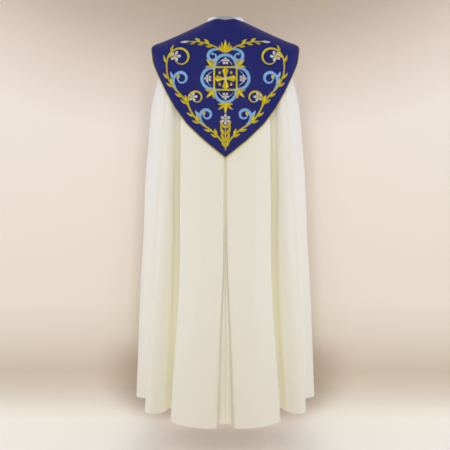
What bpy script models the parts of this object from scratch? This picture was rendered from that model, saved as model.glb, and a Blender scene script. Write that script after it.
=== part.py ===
"""A cope as it hangs from its wearer: two ivory panels joined at the centre back, a stiffened blue
hood laid over the shoulders with gold piping round its edge, a neck band and a morse.

Metres, +Z up. The origin is the middle of the neck, level with the neckline. The wearer faces +Y,
so the back of the cope faces -Y. Every sheet is a true wall with the hollow of the wearer inside.
"""

import math
from collections import namedtuple

import bpy
import numpy as np

COPE_WALL = 0.002
HOOD_WALL = 0.0025
BAND_WALL = 0.0016
MORSE_WALL = 0.003
PIPING_RADIUS = 0.0018
GAP = 0.0004  # left between pieces that are sewn together
FRONT_OPENING = 0.045  # half of the gap between the two front edges
SQUARENESS = 2.15  # exponent of the plan of a ring: 2 is an ellipse, more is squarer
SEAM_HALF_GAP = 0.0002  # each panel's distance from the middle plane at the centre-back seam

# Rings of the cope round the body, from the neckline to the hem. "down" is the share of the cloth's
# length at the centre back; z, in metres, is given at the back, the side and the front, and "edge"
# is how far out the big back fold's edge lies, as a share of the half width.
Ring = namedtuple("Ring", "name down z_back z_side z_front half_width back front edge")
COPE_RINGS = [
    Ring("neckline", 0.000, -0.002, -0.009, -0.045, 0.0680, 0.066, 0.062, 0.60),
    Ring("collar bone", 0.035, -0.043, -0.030, -0.080, 0.1130, 0.094, 0.085, 0.60),
    Ring("shoulder slope", 0.075, -0.094, -0.053, -0.121, 0.1600, 0.116, 0.104, 0.60),
    Ring("shoulder point", 0.115, -0.147, -0.082, -0.170, 0.1930, 0.132, 0.118, 0.60),
    Ring("upper arm", 0.155, -0.202, -0.124, -0.223, 0.2170, 0.143, 0.127, 0.60),
    Ring("arm", 0.195, -0.258, -0.169, -0.277, 0.2310, 0.150, 0.133, 0.60),
    Ring("shoulder blade", 0.235, -0.315, -0.215, -0.332, 0.2450, 0.157, 0.139, 0.59),
    Ring("chest", 0.290, -0.393, -0.285, -0.408, 0.2625, 0.165, 0.147, 0.58),
    Ring("elbow", 0.380, -0.520, -0.410, -0.532, 0.2765, 0.180, 0.160, 0.555),
    Ring("hip", 0.500, -0.690, -0.590, -0.698, 0.2915, 0.199, 0.176, 0.535),
    Ring("hand", 0.620, -0.861, -0.780, -0.865, 0.2998, 0.220, 0.192, 0.522),
    Ring("below the hand", 0.680, -0.946, -0.873, -0.948, 0.3068, 0.231, 0.200, 0.518),
    Ring("knee", 0.800, -1.119, -1.060, -1.115, 0.3175, 0.254, 0.216, 0.535),
    Ring("shin", 0.900, -1.264, -1.217, -1.255, 0.3245, 0.270, 0.227, 0.56),
    Ring("hem", 1.000, -1.410, -1.375, -1.395, 0.3320, 0.287, 0.237, 0.58),
]

# The hem of one half, seen from above, from the centre-back seam to the front edge: x and y, in
# metres, of a point of the folded hem. "top" is the angle round the shoulders, in degrees from the
# centre back, where the line through it starts; "start" is the share of the length where its fold
# begins, and "ease" is below 1 where the fold opens quickly.
Fold = namedtuple("Fold", "name x y top start ease")
HEM_FOLDS = [
    Fold("seam", 0.0000, -0.226, 0.0, 0.25, 0.85),
    Fold("centre fold floor", 0.0130, -0.227, 0.4, 0.25, 0.85),
    Fold("centre fold foot", 0.0220, -0.234, 0.8, 0.25, 0.85),
    Fold("centre fold wall", 0.0255, -0.252, 1.2, 0.25, 0.85),
    Fold("centre lip", 0.0290, -0.273, 1.7, 0.25, 0.85),
    Fold("back panel", 0.0420, -0.284, 3.6, 0.20, 0.85),
    Fold("back panel middle", 0.0950, -0.286, 14.0, 0.15, 0.80),
    Fold("back panel far", 0.1500, -0.268, 26.0, 0.10, 0.60),
    Fold("big fold shoulder", 0.1830, -0.244, 32.5, 0.05, 0.55),
    Fold("big fold edge", 0.1925, -0.233, 34.5, 0.05, 0.55),
    Fold("big fold turn", 0.1915, -0.220, 35.8, 0.05, 0.55),
    Fold("big fold wall", 0.1660, -0.180, 37.8, 0.05, 0.55),
    Fold("big fold floor", 0.1500, -0.128, 39.6, 0.05, 0.55),
    Fold("big fold foot", 0.1600, -0.099, 41.2, 0.05, 0.55),
    Fold("second lobe flank", 0.1960, -0.108, 43.4, 0.08, 0.60),
    Fold("second lobe rise", 0.2230, -0.150, 46.0, 0.14, 0.75),
    Fold("second lobe", 0.2510, -0.173, 49.5, 0.20, 0.90),
    Fold("second lobe far", 0.2720, -0.173, 52.5, 0.24, 1.00),
    Fold("second edge", 0.2870, -0.157, 55.0, 0.28, 1.05),
    Fold("second turn", 0.2880, -0.139, 56.5, 0.28, 1.05),
    Fold("second wall", 0.2660, -0.100, 58.5, 0.28, 1.05),
    Fold("second floor", 0.2500, -0.054, 60.5, 0.28, 1.05),
    Fold("second foot", 0.2620, -0.022, 62.8, 0.28, 1.05),
    Fold("side lobe flank", 0.2930, -0.012, 66.5, 0.28, 1.05),
    Fold("side lobe rise", 0.3180, 0.002, 73.0, 0.26, 1.00),
    Fold("side lobe", 0.3320, 0.028, 82.0, 0.24, 1.00),
    Fold("side lobe far", 0.3270, 0.060, 91.0, 0.24, 1.00),
    Fold("side edge", 0.3120, 0.075, 96.0, 0.24, 1.00),
    Fold("side turn", 0.2980, 0.075, 99.0, 0.24, 1.00),
    Fold("side fold floor", 0.2320, 0.048, 104.0, 0.22, 0.95),
    Fold("side fold foot", 0.2100, 0.064, 108.0, 0.20, 0.90),
    Fold("front lobe flank", 0.2220, 0.099, 112.0, 0.20, 0.90),
    Fold("front lobe rise", 0.2560, 0.126, 118.0, 0.20, 0.90),
    Fold("front lobe", 0.2690, 0.152, 124.0, 0.20, 0.90),
    Fold("front lobe far", 0.2550, 0.176, 130.0, 0.20, 0.90),
    Fold("front turn", 0.2270, 0.180, 134.0, 0.20, 0.90),
    Fold("front fold floor", 0.1830, 0.110, 139.0, 0.18, 0.85),
    Fold("front fold foot", 0.1610, 0.100, 143.0, 0.18, 0.85),
    Fold("chest lobe flank", 0.1510, 0.134, 147.0, 0.18, 0.85),
    Fold("chest lobe rise", 0.1640, 0.186, 152.0, 0.18, 0.85),
    Fold("chest lobe", 0.1520, 0.218, 157.0, 0.18, 0.85),
    Fold("chest lobe far", 0.1260, 0.226, 161.0, 0.18, 0.90),
    Fold("chest turn", 0.1090, 0.210, 164.0, 0.20, 0.95),
    Fold("chest fold floor", 0.0950, 0.152, 167.5, 0.22, 1.00),
    Fold("front band rise", 0.0780, 0.166, 171.0, 0.22, 1.00),
    Fold("front band", 0.0780, 0.218, 175.5, 0.22, 1.00),
    Fold("front edge", 0.0560, 0.237, 180.0, 0.22, 1.00),
]

# Rings of the hood, which keeps its own straight shoulder line and stands off the arms.
HOOD_RINGS = [
    Ring("neckline", 0.000, 0.003, -0.004, -0.040, 0.0725, 0.0705, 0.0665, 0),
    Ring("collar bone", 0.035, -0.038, -0.0245, -0.075, 0.1180, 0.0985, 0.0895, 0),
    Ring("shoulder slope", 0.075, -0.089, -0.0470, -0.116, 0.1670, 0.1210, 0.1090, 0),
    Ring("shoulder line", 0.115, -0.142, -0.0680, -0.165, 0.2160, 0.1370, 0.1230, 0),
    Ring("corner", 0.155, -0.198, -0.0900, -0.219, 0.2670, 0.1480, 0.1320, 0),
    Ring("below the corner", 0.195, -0.255, -0.1270, -0.273, 0.2780, 0.1555, 0.1385, 0),
    Ring("shoulder blade", 0.235, -0.312, -0.1850, -0.328, 0.2730, 0.1625, 0.1450, 0),
    Ring("waist of the hood", 0.300, -0.404, -0.2850, -0.415, 0.2790, 0.1730, 0.1550, 0),
    Ring("tip", 0.400, -0.548, -0.4250, -0.560, 0.2900, 0.1900, 0.1700, 0),
]

# Outlines of the hood: half its width at each height, on the back and on the front.
Outline = namedtuple("Outline", "z half_width")
HOOD_BACK_OUTLINE = [
    Outline(-0.060, 0.2400),
    Outline(-0.082, 0.2560),
    Outline(-0.094, 0.2628),
    Outline(-0.108, 0.2612),
    Outline(-0.144, 0.2565),
    Outline(-0.166, 0.2485),
    Outline(-0.194, 0.2357),
    Outline(-0.251, 0.2073),
    Outline(-0.307, 0.1750),
    Outline(-0.362, 0.1325),
    Outline(-0.418, 0.0730),
    Outline(-0.476, 0.0000),
    Outline(-0.540, -0.0810),
]
HOOD_FRONT_OUTLINE = [
    Outline(-0.060, 0.2400),
    Outline(-0.082, 0.2560),
    Outline(-0.094, 0.2628),
    Outline(-0.106, 0.2600),
    Outline(-0.130, 0.2450),
    Outline(-0.160, 0.2100),
    Outline(-0.190, 0.1500),
    Outline(-0.205, 0.0900),
    Outline(-0.212, 0.0300),
    Outline(-0.230, -0.2000),
]

COPE_COLUMNS = 62  # lines down one panel, closer together where the hem turns
COLUMN_STEP = 0.075  # metres of straight hem that count as much as COLUMN_TURN of bent hem
COLUMN_TURN = 38  # degrees
CHORD_POWER = 0.7  # evens out the long and short steps between the rows of HEM_FOLDS
COPE_ROW_SHARES = [0, 0.03, 0.065, 0.1, 0.135, 0.175, 0.22, 0.28, 0.35, 0.43, 0.52, 0.61, 0.66, 0.72,
                   0.8, 0.9, 1]
HOOD_COLUMNS = 23  # lines from neck to edge between the centre back and one shoulder line
HOOD_FRONT_COLUMNS = 12
HOOD_BACK_SPREAD = 1.35  # above 1, the lines crowd towards the shoulder, where the corner is
HOOD_FRONT_SPREAD = 1.2
HOOD_ROWS = 9
HALVINGS = 40  # steps in the search for the hood's edge

BAND_TOP = 0.0145
BAND_SUNK = 0.004  # how far the band reaches down inside the neckline
BAND_LEAN = 0.005  # how much narrower the band is at its top
BAND_COLUMNS = 36
BAND_ROWS = 4

MORSE_HALF_WIDTH = 0.080
MORSE_TOP = -0.238
MORSE_HEIGHT = 0.075
MORSE_CORNER = 0.012
MORSE_STAND_OFF = 0.0028
MORSE_COLUMNS = 17
MORSE_ROWS = 5

Finish = namedtuple("Finish", "name colour roughness")
IVORY_CLOTH = Finish("ivory_cloth", (0.80, 0.76, 0.64, 1), 0.85)
BLUE_SATIN = Finish("blue_satin", (0.022, 0.024, 0.13, 1), 0.6)
GOLD_CORD = Finish("gold_cord", (0.70, 0.45, 0.05, 1), 0.45)
WHITE_BAND = Finish("white_band", (0.62, 0.62, 0.60, 1), 0.7)


def curve_through(knots, values, at):
    """Values of a smooth curve through the rows of `values`, read at the places `at`."""
    knots, values, at = (np.asarray(item, float) for item in (knots, values, at))
    steps = np.diff(knots)
    secants = np.diff(values, axis=0) / steps.reshape([-1] + [1] * (values.ndim - 1))
    slopes = np.empty_like(values)
    slopes[0], slopes[-1] = secants[0], secants[-1]
    for i in range(1, len(knots) - 1):
        slopes[i] = (steps[i] * secants[i - 1] + steps[i - 1] * secants[i]) / (steps[i - 1] + steps[i])
    span = np.clip(np.searchsorted(knots, at, side="right") - 1, 0, len(steps) - 1)
    wide = [-1] + [1] * (values.ndim - 1)
    step = steps[span].reshape(wide)
    t = ((at - knots[span]) / steps[span]).reshape(wide)
    return (
        values[span] * (1 + 2 * t) * (1 - t) ** 2
        + values[span + 1] * t**2 * (3 - 2 * t)
        + slopes[span] * step * t * (1 - t) ** 2
        + slopes[span + 1] * step * t**2 * (t - 1)
    )


def ring_at(rings, down):
    """The ring at a share of the length, between the rows of a table of rings."""
    numbers = [ring[1:] for ring in rings]
    return Ring("between", *curve_through([ring.down for ring in rings], numbers, [down])[0])


def plan_point(top, half_width):
    """Where an angle round the body lies on the unit plan; 180 is the front edge, not the middle."""
    opening = math.degrees(math.asin(min(1, FRONT_OPENING / half_width) ** (SQUARENESS / 2)))
    if top > 90:
        top = 90 + (top - 90) * (90 - opening) / 90
    sine, cosine = math.sin(math.radians(top)), math.cos(math.radians(top))
    power = 2 / SQUARENESS
    return np.array([sine**power, -math.copysign(abs(cosine) ** power, cosine)])


def on_ring(ring, plan):
    """The point in space of a place on the unit plan of a ring."""
    x, y = plan
    side = x * x / (x * x + y * y)
    z_end = ring.z_back if y < 0 else ring.z_front
    depth = ring.back if y < 0 else ring.front
    return (x * ring.half_width, y * depth, ring.z_side * side + z_end * (1 - side))


def hem_columns(count):
    """Rows of HEM_FOLDS between its own, closer together where the hem turns sharply."""
    numbers = np.array([fold[1:] for fold in HEM_FOLDS])
    chords = np.linalg.norm(np.diff(numbers[:, :2], axis=0), axis=1) ** CHORD_POWER
    knots = np.concatenate([[0], np.cumsum(chords)])
    fine = np.linspace(0, knots[-1], 2000)
    dense = curve_through(knots, numbers, fine)
    steps = np.diff(dense[:, :2], axis=0)
    turns = np.abs(np.diff(np.unwrap(np.arctan2(steps[:, 1], steps[:, 0]))))
    lengths = np.linalg.norm(steps, axis=1)
    weights = lengths / COLUMN_STEP + np.append(turns, 0) / math.radians(COLUMN_TURN)
    spread = np.concatenate([[0], np.cumsum(weights)])
    at = np.interp(np.linspace(0, spread[-1], count), spread, fine)
    return curve_through(knots, numbers, at)


def cope_point(ring, fold):
    """A point of the cope: the plain ring at its top, the folded hem at its foot."""
    x, y, top, start, ease = fold
    hem = COPE_RINGS[-1]
    plain = plan_point(top, ring.half_width)
    folded = np.array([x / hem.half_width, y / (hem.back if y < 0 else hem.front)])
    opened = max(0, (ring.down - start) / (1 - start)) ** ease
    plan = plain + opened * (folded - plain)
    # The big back fold's edge hangs straight down, while the ring grows wider towards the hem.
    shift = (ring.edge - hem.edge) / (hem.edge * (1 - hem.edge))
    behind = (1 - plan[1]) / 2  # 1 at the centre back, 0 at the front edges
    plan[0] += shift * plan[0] * (1 - plan[0]) * behind
    return on_ring(ring, plan)


def hood_point(down, top):
    ring = ring_at(HOOD_RINGS, down)
    return on_ring(ring, plan_point(top, ring.half_width))


def hood_edge(top):
    """How far down the hood reaches on one line from the neck, found by halving."""
    outline = HOOD_BACK_OUTLINE if top <= 90 else HOOD_FRONT_OUTLINE
    rows = outline[::-1]
    near, far = HOOD_RINGS[0].down, HOOD_RINGS[-1].down
    for _ in range(HALVINGS):
        middle = (near + far) / 2
        x, _, z = hood_point(middle, top)
        if x < np.interp(z, [row.z for row in rows], [row.half_width for row in rows]):
            near = middle
        else:
            far = middle
    return near


def material(finish):
    """The finish as a material, made once and shared by the pieces of one cloth."""
    if finish.name in bpy.data.materials:
        return bpy.data.materials[finish.name]
    made = bpy.data.materials.new(finish.name)
    made.use_nodes = True
    shader = made.node_tree.nodes["Principled BSDF"]
    shader.inputs["Base Color"].default_value = finish.colour
    shader.inputs["Roughness"].default_value = finish.roughness
    return made


def sheet(name, grid, wall, finish):
    """A wall of cloth whose outer face runs through a grid of points, from its top row to its foot."""
    rows, columns = len(grid), len(grid[0])
    mesh = bpy.data.meshes.new(name)
    points = [point for row in grid for point in row]
    faces = [
        (r * columns + c, (r + 1) * columns + c, (r + 1) * columns + c + 1, r * columns + c + 1)
        for r in range(rows - 1)
        for c in range(columns - 1)
    ]
    mesh.from_pydata(points, [], faces)
    mesh.materials.append(material(finish))
    mesh.shade_smooth()
    made = bpy.data.objects.new(name, mesh)
    bpy.context.scene.collection.objects.link(made)
    solidify = made.modifiers.new("wall", "SOLIDIFY")
    solidify.thickness = wall
    solidify.offset = -1
    return made


def mirrored(grid):
    """The same sheet on the wearer's other side, its columns turned round to keep its face outside."""
    return [[(-x, y, z) for x, y, z in row[::-1]] for row in grid]


def build_cope():
    """Two panels, each from the centre-back seam round one arm to its front edge."""
    folds = hem_columns(COPE_COLUMNS)
    rings = [ring_at(COPE_RINGS, down) for down in COPE_ROW_SHARES]
    grid = [[cope_point(ring, fold) for fold in folds] for ring in rings]
    grid = [[(max(x, SEAM_HALF_GAP), y, z) for x, y, z in row] for row in grid]
    sheet("cope_right", grid, COPE_WALL, IVORY_CLOTH)
    sheet("cope_left", mirrored(grid), COPE_WALL, IVORY_CLOTH)


def hood_grid():
    """Points of the hood's outer face, from one front edge round the back to the other."""
    back = 90 * (1 - (1 - np.linspace(0, 1, HOOD_COLUMNS)) ** HOOD_BACK_SPREAD)
    front = 90 + 90 * np.linspace(0, 1, HOOD_FRONT_COLUMNS)[1:] ** HOOD_FRONT_SPREAD
    tops = np.concatenate([back, front])
    columns = []
    for top in tops:
        edge = hood_edge(top)
        columns.append([hood_point(share * edge, top) for share in np.linspace(0, 1, HOOD_ROWS)])
    half = [list(row) for row in zip(*columns)]
    return [mirrored([row[1:]])[0] + row for row in half]


def build_hood():
    grid = hood_grid()
    sheet("hood", grid, HOOD_WALL, BLUE_SATIN)
    return grid


def build_piping(grid):
    """A gold cord along the free edge of the hood, from one front edge at the neck to the other."""
    array = np.array(grid)
    edge = np.concatenate([array[:-1, 0], array[-1], array[-2::-1, -1]])
    inner = np.concatenate([array[:-1, 1], array[-2], array[-2::-1, -2]])
    inner[len(array) - 1] = array[-2, 1]
    inner[-len(array)] = array[-2, -2]
    steps = np.diff(edge, axis=0)
    steps /= np.linalg.norm(steps, axis=1, keepdims=True)
    runs = (np.concatenate([steps[:1], steps]) + np.concatenate([steps, steps[-1:]])) / 2
    corner = np.linalg.norm(runs, axis=1, keepdims=True)  # below 1 where the edge turns
    runs /= corner
    outward = edge - inner
    outward -= runs * (outward * runs).sum(axis=1, keepdims=True)
    outward /= np.linalg.norm(outward, axis=1, keepdims=True)
    inwards = np.cross(outward, runs)
    inwards *= np.sign((inwards * (array.mean(axis=(0, 1)) - edge)).sum(axis=1, keepdims=True))
    path = edge + outward * (PIPING_RADIUS + GAP) / corner + inwards * HOOD_WALL / 2
    curve = bpy.data.curves.new("hood_piping", "CURVE")
    curve.dimensions = "3D"
    curve.bevel_depth = PIPING_RADIUS
    curve.bevel_resolution = 1
    curve.use_fill_caps = True
    spline = curve.splines.new("POLY")
    spline.points.add(len(path) - 1)
    for point, place in zip(spline.points, path):
        point.co = (*place, 1)
    curve.materials.append(material(GOLD_CORD))
    bpy.context.scene.collection.objects.link(bpy.data.objects.new("hood_piping", curve))


def build_neck_band():
    """A narrow band standing up inside the neckline, open at the front as the cope is."""
    ring = COPE_RINGS[0]
    inside = COPE_WALL + GAP
    grid = []
    level = ring._replace(z_back=BAND_TOP, z_side=BAND_TOP, z_front=BAND_TOP + ring.z_front)
    for up in np.linspace(1, 0, BAND_ROWS):
        lean = inside + BAND_LEAN * up
        between = Ring("band", *(up * np.array(level[1:]) + (1 - up) * np.array(ring[1:])))
        narrow = between._replace(
            half_width=ring.half_width - lean, back=ring.back - lean, front=ring.front - lean
        )
        half = [
            on_ring(narrow, plan_point(top, ring.half_width))
            for top in np.linspace(0, 180, BAND_COLUMNS // 2 + 1)
        ]
        half = [(x, y, z - BAND_SUNK * (1 - up)) for x, y, z in half]
        grid.append(mirrored([half[1:]])[0] + half)
    sheet("neck_band", grid, BAND_WALL, WHITE_BAND)


def build_morse():
    """A plain tab that holds the two front edges together across the chest."""
    across = np.linspace(-MORSE_HALF_WIDTH, MORSE_HALF_WIDTH, MORSE_COLUMNS)
    grid = []
    for share in np.linspace(0, 1, MORSE_ROWS):
        row = []
        for x in across:
            from_end = MORSE_HALF_WIDTH - abs(x)
            rounding = MORSE_CORNER - math.sqrt(
                MORSE_CORNER**2 - max(0, MORSE_CORNER - from_end) ** 2
            )
            z = MORSE_TOP - rounding - share * (MORSE_HEIGHT - 2 * rounding)
            # The ring whose front passes this height.
            down = np.interp(-z, [-r.z_front for r in COPE_RINGS], [r.down for r in COPE_RINGS])
            ring = ring_at(COPE_RINGS, down)
            lean = (1 - (abs(x) / ring.half_width) ** SQUARENESS) ** (1 / SQUARENESS)
            row.append((x, ring.front * lean + MORSE_STAND_OFF + MORSE_WALL, z))
        grid.append(row[::-1])
    sheet("morse", grid, MORSE_WALL, BLUE_SATIN)


for leftover in list(bpy.data.objects):
    bpy.data.objects.remove(leftover)
build_cope()
build_piping(build_hood())
build_neck_band()
build_morse()
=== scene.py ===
"""The looks of a cope that hangs from an unseen wearer, seen from behind: two ivory panels joined
down the back, a stiffened blue hood with embroidery and a gold cord, a neck band and a tab.

Metres, +Z up. The origin is the middle of the neck, level with the neckline; the back faces -Y.
"""

import math
from collections import namedtuple

import bpy
import numpy as np
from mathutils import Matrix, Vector
from mathutils.bvhtree import BVHTree


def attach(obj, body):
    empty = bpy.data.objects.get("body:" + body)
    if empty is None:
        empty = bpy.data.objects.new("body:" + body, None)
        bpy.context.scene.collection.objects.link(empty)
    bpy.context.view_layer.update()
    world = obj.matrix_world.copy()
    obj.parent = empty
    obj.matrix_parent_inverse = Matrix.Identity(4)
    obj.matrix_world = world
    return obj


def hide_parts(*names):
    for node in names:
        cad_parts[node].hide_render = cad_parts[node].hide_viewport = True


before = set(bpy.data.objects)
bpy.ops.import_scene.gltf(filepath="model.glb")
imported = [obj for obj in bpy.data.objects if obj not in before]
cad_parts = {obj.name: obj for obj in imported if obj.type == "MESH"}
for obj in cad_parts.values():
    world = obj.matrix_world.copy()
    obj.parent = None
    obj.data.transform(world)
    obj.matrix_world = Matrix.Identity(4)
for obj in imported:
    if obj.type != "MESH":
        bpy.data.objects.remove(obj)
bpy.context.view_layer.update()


# ------------------------------------------------------------
# The two panels. Ivory polyester-and-viscose cloth with a fine plain weave, cut as wide wedges and
# lined, joined down the back inside an inverted fold and hung in soft folds from the shoulders.

# Rings round the body, from the neckline to the hem. "down" is the share of the cloth's length at
# the centre back; z is given at the back, the side and the front, and "edge" is how far out the big
# back fold's edge lies, as a share of the half width.
Ring = namedtuple("Ring", "name down z_back z_side z_front half_width back front edge")
COPE_RINGS = [
    Ring("neckline", 0.000, -0.002, -0.009, -0.045, 0.0680, 0.066, 0.062, 0.60),
    Ring("collar bone", 0.035, -0.043, -0.030, -0.080, 0.1130, 0.094, 0.085, 0.60),
    Ring("shoulder slope", 0.075, -0.094, -0.053, -0.121, 0.1600, 0.116, 0.104, 0.60),
    Ring("shoulder point", 0.115, -0.147, -0.082, -0.170, 0.1930, 0.132, 0.118, 0.60),
    Ring("upper arm", 0.155, -0.202, -0.124, -0.223, 0.2170, 0.143, 0.127, 0.60),
    Ring("arm", 0.195, -0.258, -0.169, -0.277, 0.2310, 0.150, 0.133, 0.60),
    Ring("shoulder blade", 0.235, -0.315, -0.215, -0.332, 0.2450, 0.157, 0.139, 0.59),
    Ring("chest", 0.290, -0.393, -0.285, -0.408, 0.2625, 0.165, 0.147, 0.58),
    Ring("elbow", 0.380, -0.520, -0.410, -0.532, 0.2765, 0.180, 0.160, 0.555),
    Ring("hip", 0.500, -0.690, -0.590, -0.698, 0.2915, 0.199, 0.176, 0.535),
    Ring("hand", 0.620, -0.861, -0.780, -0.865, 0.2998, 0.220, 0.192, 0.522),
    Ring("below the hand", 0.680, -0.946, -0.873, -0.948, 0.3068, 0.231, 0.200, 0.518),
    Ring("knee", 0.800, -1.119, -1.060, -1.115, 0.3175, 0.254, 0.216, 0.535),
    Ring("shin", 0.900, -1.264, -1.217, -1.255, 0.3245, 0.270, 0.227, 0.56),
    Ring("hem", 1.000, -1.410, -1.375, -1.395, 0.3320, 0.287, 0.237, 0.58),
]
SQUARENESS = 2.15  # exponent of a ring's plan: 2 is an ellipse, more is squarer
FRONT_OPENING = 0.045  # half of the gap between the two front edges

# The hem of one half from above, from the centre-back seam to the front edge. "top" is the angle
# round the shoulders where the line through the point starts, "start" the share of the length
# where its fold begins, and "ease" is below 1 where the fold opens quickly.
Fold = namedtuple("Fold", "name x y top start ease")
HEM_FOLDS = [
    Fold("seam", 0.0000, -0.226, 0.0, 0.25, 0.85),
    Fold("centre fold floor", 0.0130, -0.227, 0.4, 0.25, 0.85),
    Fold("centre fold foot", 0.0220, -0.234, 0.8, 0.25, 0.85),
    Fold("centre fold wall", 0.0255, -0.252, 1.2, 0.25, 0.85),
    Fold("centre lip", 0.0290, -0.273, 1.7, 0.25, 0.85),
    Fold("back panel", 0.0420, -0.284, 3.6, 0.20, 0.85),
    Fold("back panel middle", 0.0950, -0.286, 14.0, 0.15, 0.80),
    Fold("back panel far", 0.1500, -0.268, 26.0, 0.10, 0.60),
    Fold("big fold shoulder", 0.1830, -0.244, 32.5, 0.05, 0.55),
    Fold("big fold edge", 0.1925, -0.233, 34.5, 0.05, 0.55),
    Fold("big fold turn", 0.1915, -0.220, 35.8, 0.05, 0.55),
    Fold("big fold wall", 0.1660, -0.180, 37.8, 0.05, 0.55),
    Fold("big fold floor", 0.1500, -0.128, 39.6, 0.05, 0.55),
    Fold("big fold foot", 0.1600, -0.099, 41.2, 0.05, 0.55),
    Fold("second lobe flank", 0.1960, -0.108, 43.4, 0.08, 0.60),
    Fold("second lobe rise", 0.2230, -0.150, 46.0, 0.14, 0.75),
    Fold("second lobe", 0.2510, -0.173, 49.5, 0.20, 0.90),
    Fold("second lobe far", 0.2720, -0.173, 52.5, 0.24, 1.00),
    Fold("second edge", 0.2870, -0.157, 55.0, 0.28, 1.05),
    Fold("second turn", 0.2880, -0.139, 56.5, 0.28, 1.05),
    Fold("second wall", 0.2660, -0.100, 58.5, 0.28, 1.05),
    Fold("second floor", 0.2500, -0.054, 60.5, 0.28, 1.05),
    Fold("second foot", 0.2620, -0.022, 62.8, 0.28, 1.05),
    Fold("side lobe flank", 0.2930, -0.012, 66.5, 0.28, 1.05),
    Fold("side lobe rise", 0.3180, 0.002, 73.0, 0.26, 1.00),
    Fold("side lobe", 0.3320, 0.028, 82.0, 0.24, 1.00),
    Fold("side lobe far", 0.3270, 0.060, 91.0, 0.24, 1.00),
    Fold("side edge", 0.3120, 0.075, 96.0, 0.24, 1.00),
    Fold("side turn", 0.2980, 0.075, 99.0, 0.24, 1.00),
    Fold("side fold floor", 0.2320, 0.048, 104.0, 0.22, 0.95),
    Fold("side fold foot", 0.2100, 0.064, 108.0, 0.20, 0.90),
    Fold("front lobe flank", 0.2220, 0.099, 112.0, 0.20, 0.90),
    Fold("front lobe rise", 0.2560, 0.126, 118.0, 0.20, 0.90),
    Fold("front lobe", 0.2690, 0.152, 124.0, 0.20, 0.90),
    Fold("front lobe far", 0.2550, 0.176, 130.0, 0.20, 0.90),
    Fold("front turn", 0.2270, 0.180, 134.0, 0.20, 0.90),
    Fold("front fold floor", 0.1830, 0.110, 139.0, 0.18, 0.85),
    Fold("front fold foot", 0.1610, 0.100, 143.0, 0.18, 0.85),
    Fold("chest lobe flank", 0.1510, 0.134, 147.0, 0.18, 0.85),
    Fold("chest lobe rise", 0.1640, 0.186, 152.0, 0.18, 0.85),
    Fold("chest lobe", 0.1520, 0.218, 157.0, 0.18, 0.85),
    Fold("chest lobe far", 0.1260, 0.226, 161.0, 0.18, 0.90),
    Fold("chest turn", 0.1090, 0.210, 164.0, 0.20, 0.95),
    Fold("chest fold floor", 0.0950, 0.152, 167.5, 0.22, 1.00),
    Fold("front band rise", 0.0780, 0.166, 171.0, 0.22, 1.00),
    Fold("front band", 0.0780, 0.218, 175.5, 0.22, 1.00),
    Fold("front edge", 0.0560, 0.237, 180.0, 0.22, 1.00),
]
LIPS_CLOSED = 0.54  # how much closer the centre fold's lips hang under the hood
LIPS_PART = (0.56, 0.80)  # shares of the length between which they part
LIPS_REACH = (0.014, 0.060)  # metres from the seam
CHORD_POWER = 0.7  # evens out the long and short steps between the rows of HEM_FOLDS

# Soft creases of one half: places are metres along the hem from the centre-back seam, at the
# crease's top and at its foot; "first" and "last" are shares of the length, and "rise" is above 0
# on a ridge and below 0 in a trough. "side" is 0 on both halves, -1 on the left, 1 on the right.
Crease = namedtuple("Crease", "name side at_top at_foot first last width rise")
CREASES = [
    Crease("drag from the hood's tip", 0, 0.100, 0.085, 0.30, 0.78, 0.020, 0.0010),
    Crease("hollow beside it", 0, 0.135, 0.125, 0.28, 0.92, 0.024, -0.0012),
    Crease("back panel roll", -1, 0.165, 0.170, 0.34, 0.96, 0.020, 0.0011),
    Crease("back panel roll", 1, 0.170, 0.160, 0.30, 0.88, 0.022, 0.0009),
    Crease("dent inside the big fold", 0, 0.200, 0.205, 0.22, 0.98, 0.016, -0.0010),
    Crease("second lobe pleat", 0, 0.430, 0.440, 0.24, 0.93, 0.014, -0.0022),
    Crease("second lobe roll", 0, 0.462, 0.470, 0.26, 0.99, 0.013, 0.0016),
    Crease("between the lobes", 0, 0.590, 0.570, 0.03, 0.80, 0.022, -0.0035),
    Crease("side lobe pleat", -1, 0.675, 0.668, 0.27, 0.98, 0.016, -0.0030),
    Crease("side lobe pleat", 1, 0.672, 0.676, 0.27, 0.95, 0.017, -0.0026),
    Crease("side lobe roll", 0, 0.702, 0.700, 0.30, 0.90, 0.016, 0.0018),
    Crease("side lobe far pleat", 0, 0.760, 0.752, 0.33, 1.00, 0.018, -0.0022),
    Crease("front lobe roll", 0, 0.980, 0.990, 0.25, 0.95, 0.020, 0.0022),
    Crease("front lobe pleat", 0, 1.030, 1.020, 0.28, 1.00, 0.018, -0.0024),
    Crease("chest lobe roll", 0, 1.300, 1.290, 0.25, 0.90, 0.018, 0.0018),
    Crease("chest lobe pleat", 0, 1.340, 1.335, 0.22, 1.00, 0.016, -0.0020),
]


def curve_through(knots, values, at):
    """Values of a smooth curve through the rows of `values`, read at the places `at`."""
    knots, values, at = (np.asarray(item, float) for item in (knots, values, at))
    steps = np.diff(knots)
    secants = np.diff(values, axis=0) / steps.reshape([-1] + [1] * (values.ndim - 1))
    slopes = np.empty_like(values)
    slopes[0], slopes[-1] = secants[0], secants[-1]
    for i in range(1, len(knots) - 1):
        slopes[i] = (steps[i] * secants[i - 1] + steps[i - 1] * secants[i]) / (steps[i - 1] + steps[i])
    span = np.clip(np.searchsorted(knots, at, side="right") - 1, 0, len(steps) - 1)
    wide = [-1] + [1] * (values.ndim - 1)
    step = steps[span].reshape(wide)
    t = ((at - knots[span]) / steps[span]).reshape(wide)
    return (
        values[span] * (1 + 2 * t) * (1 - t) ** 2
        + values[span + 1] * t**2 * (3 - 2 * t)
        + slopes[span] * step * t * (1 - t) ** 2
        + slopes[span + 1] * step * t**2 * (t - 1)
    )


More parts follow.
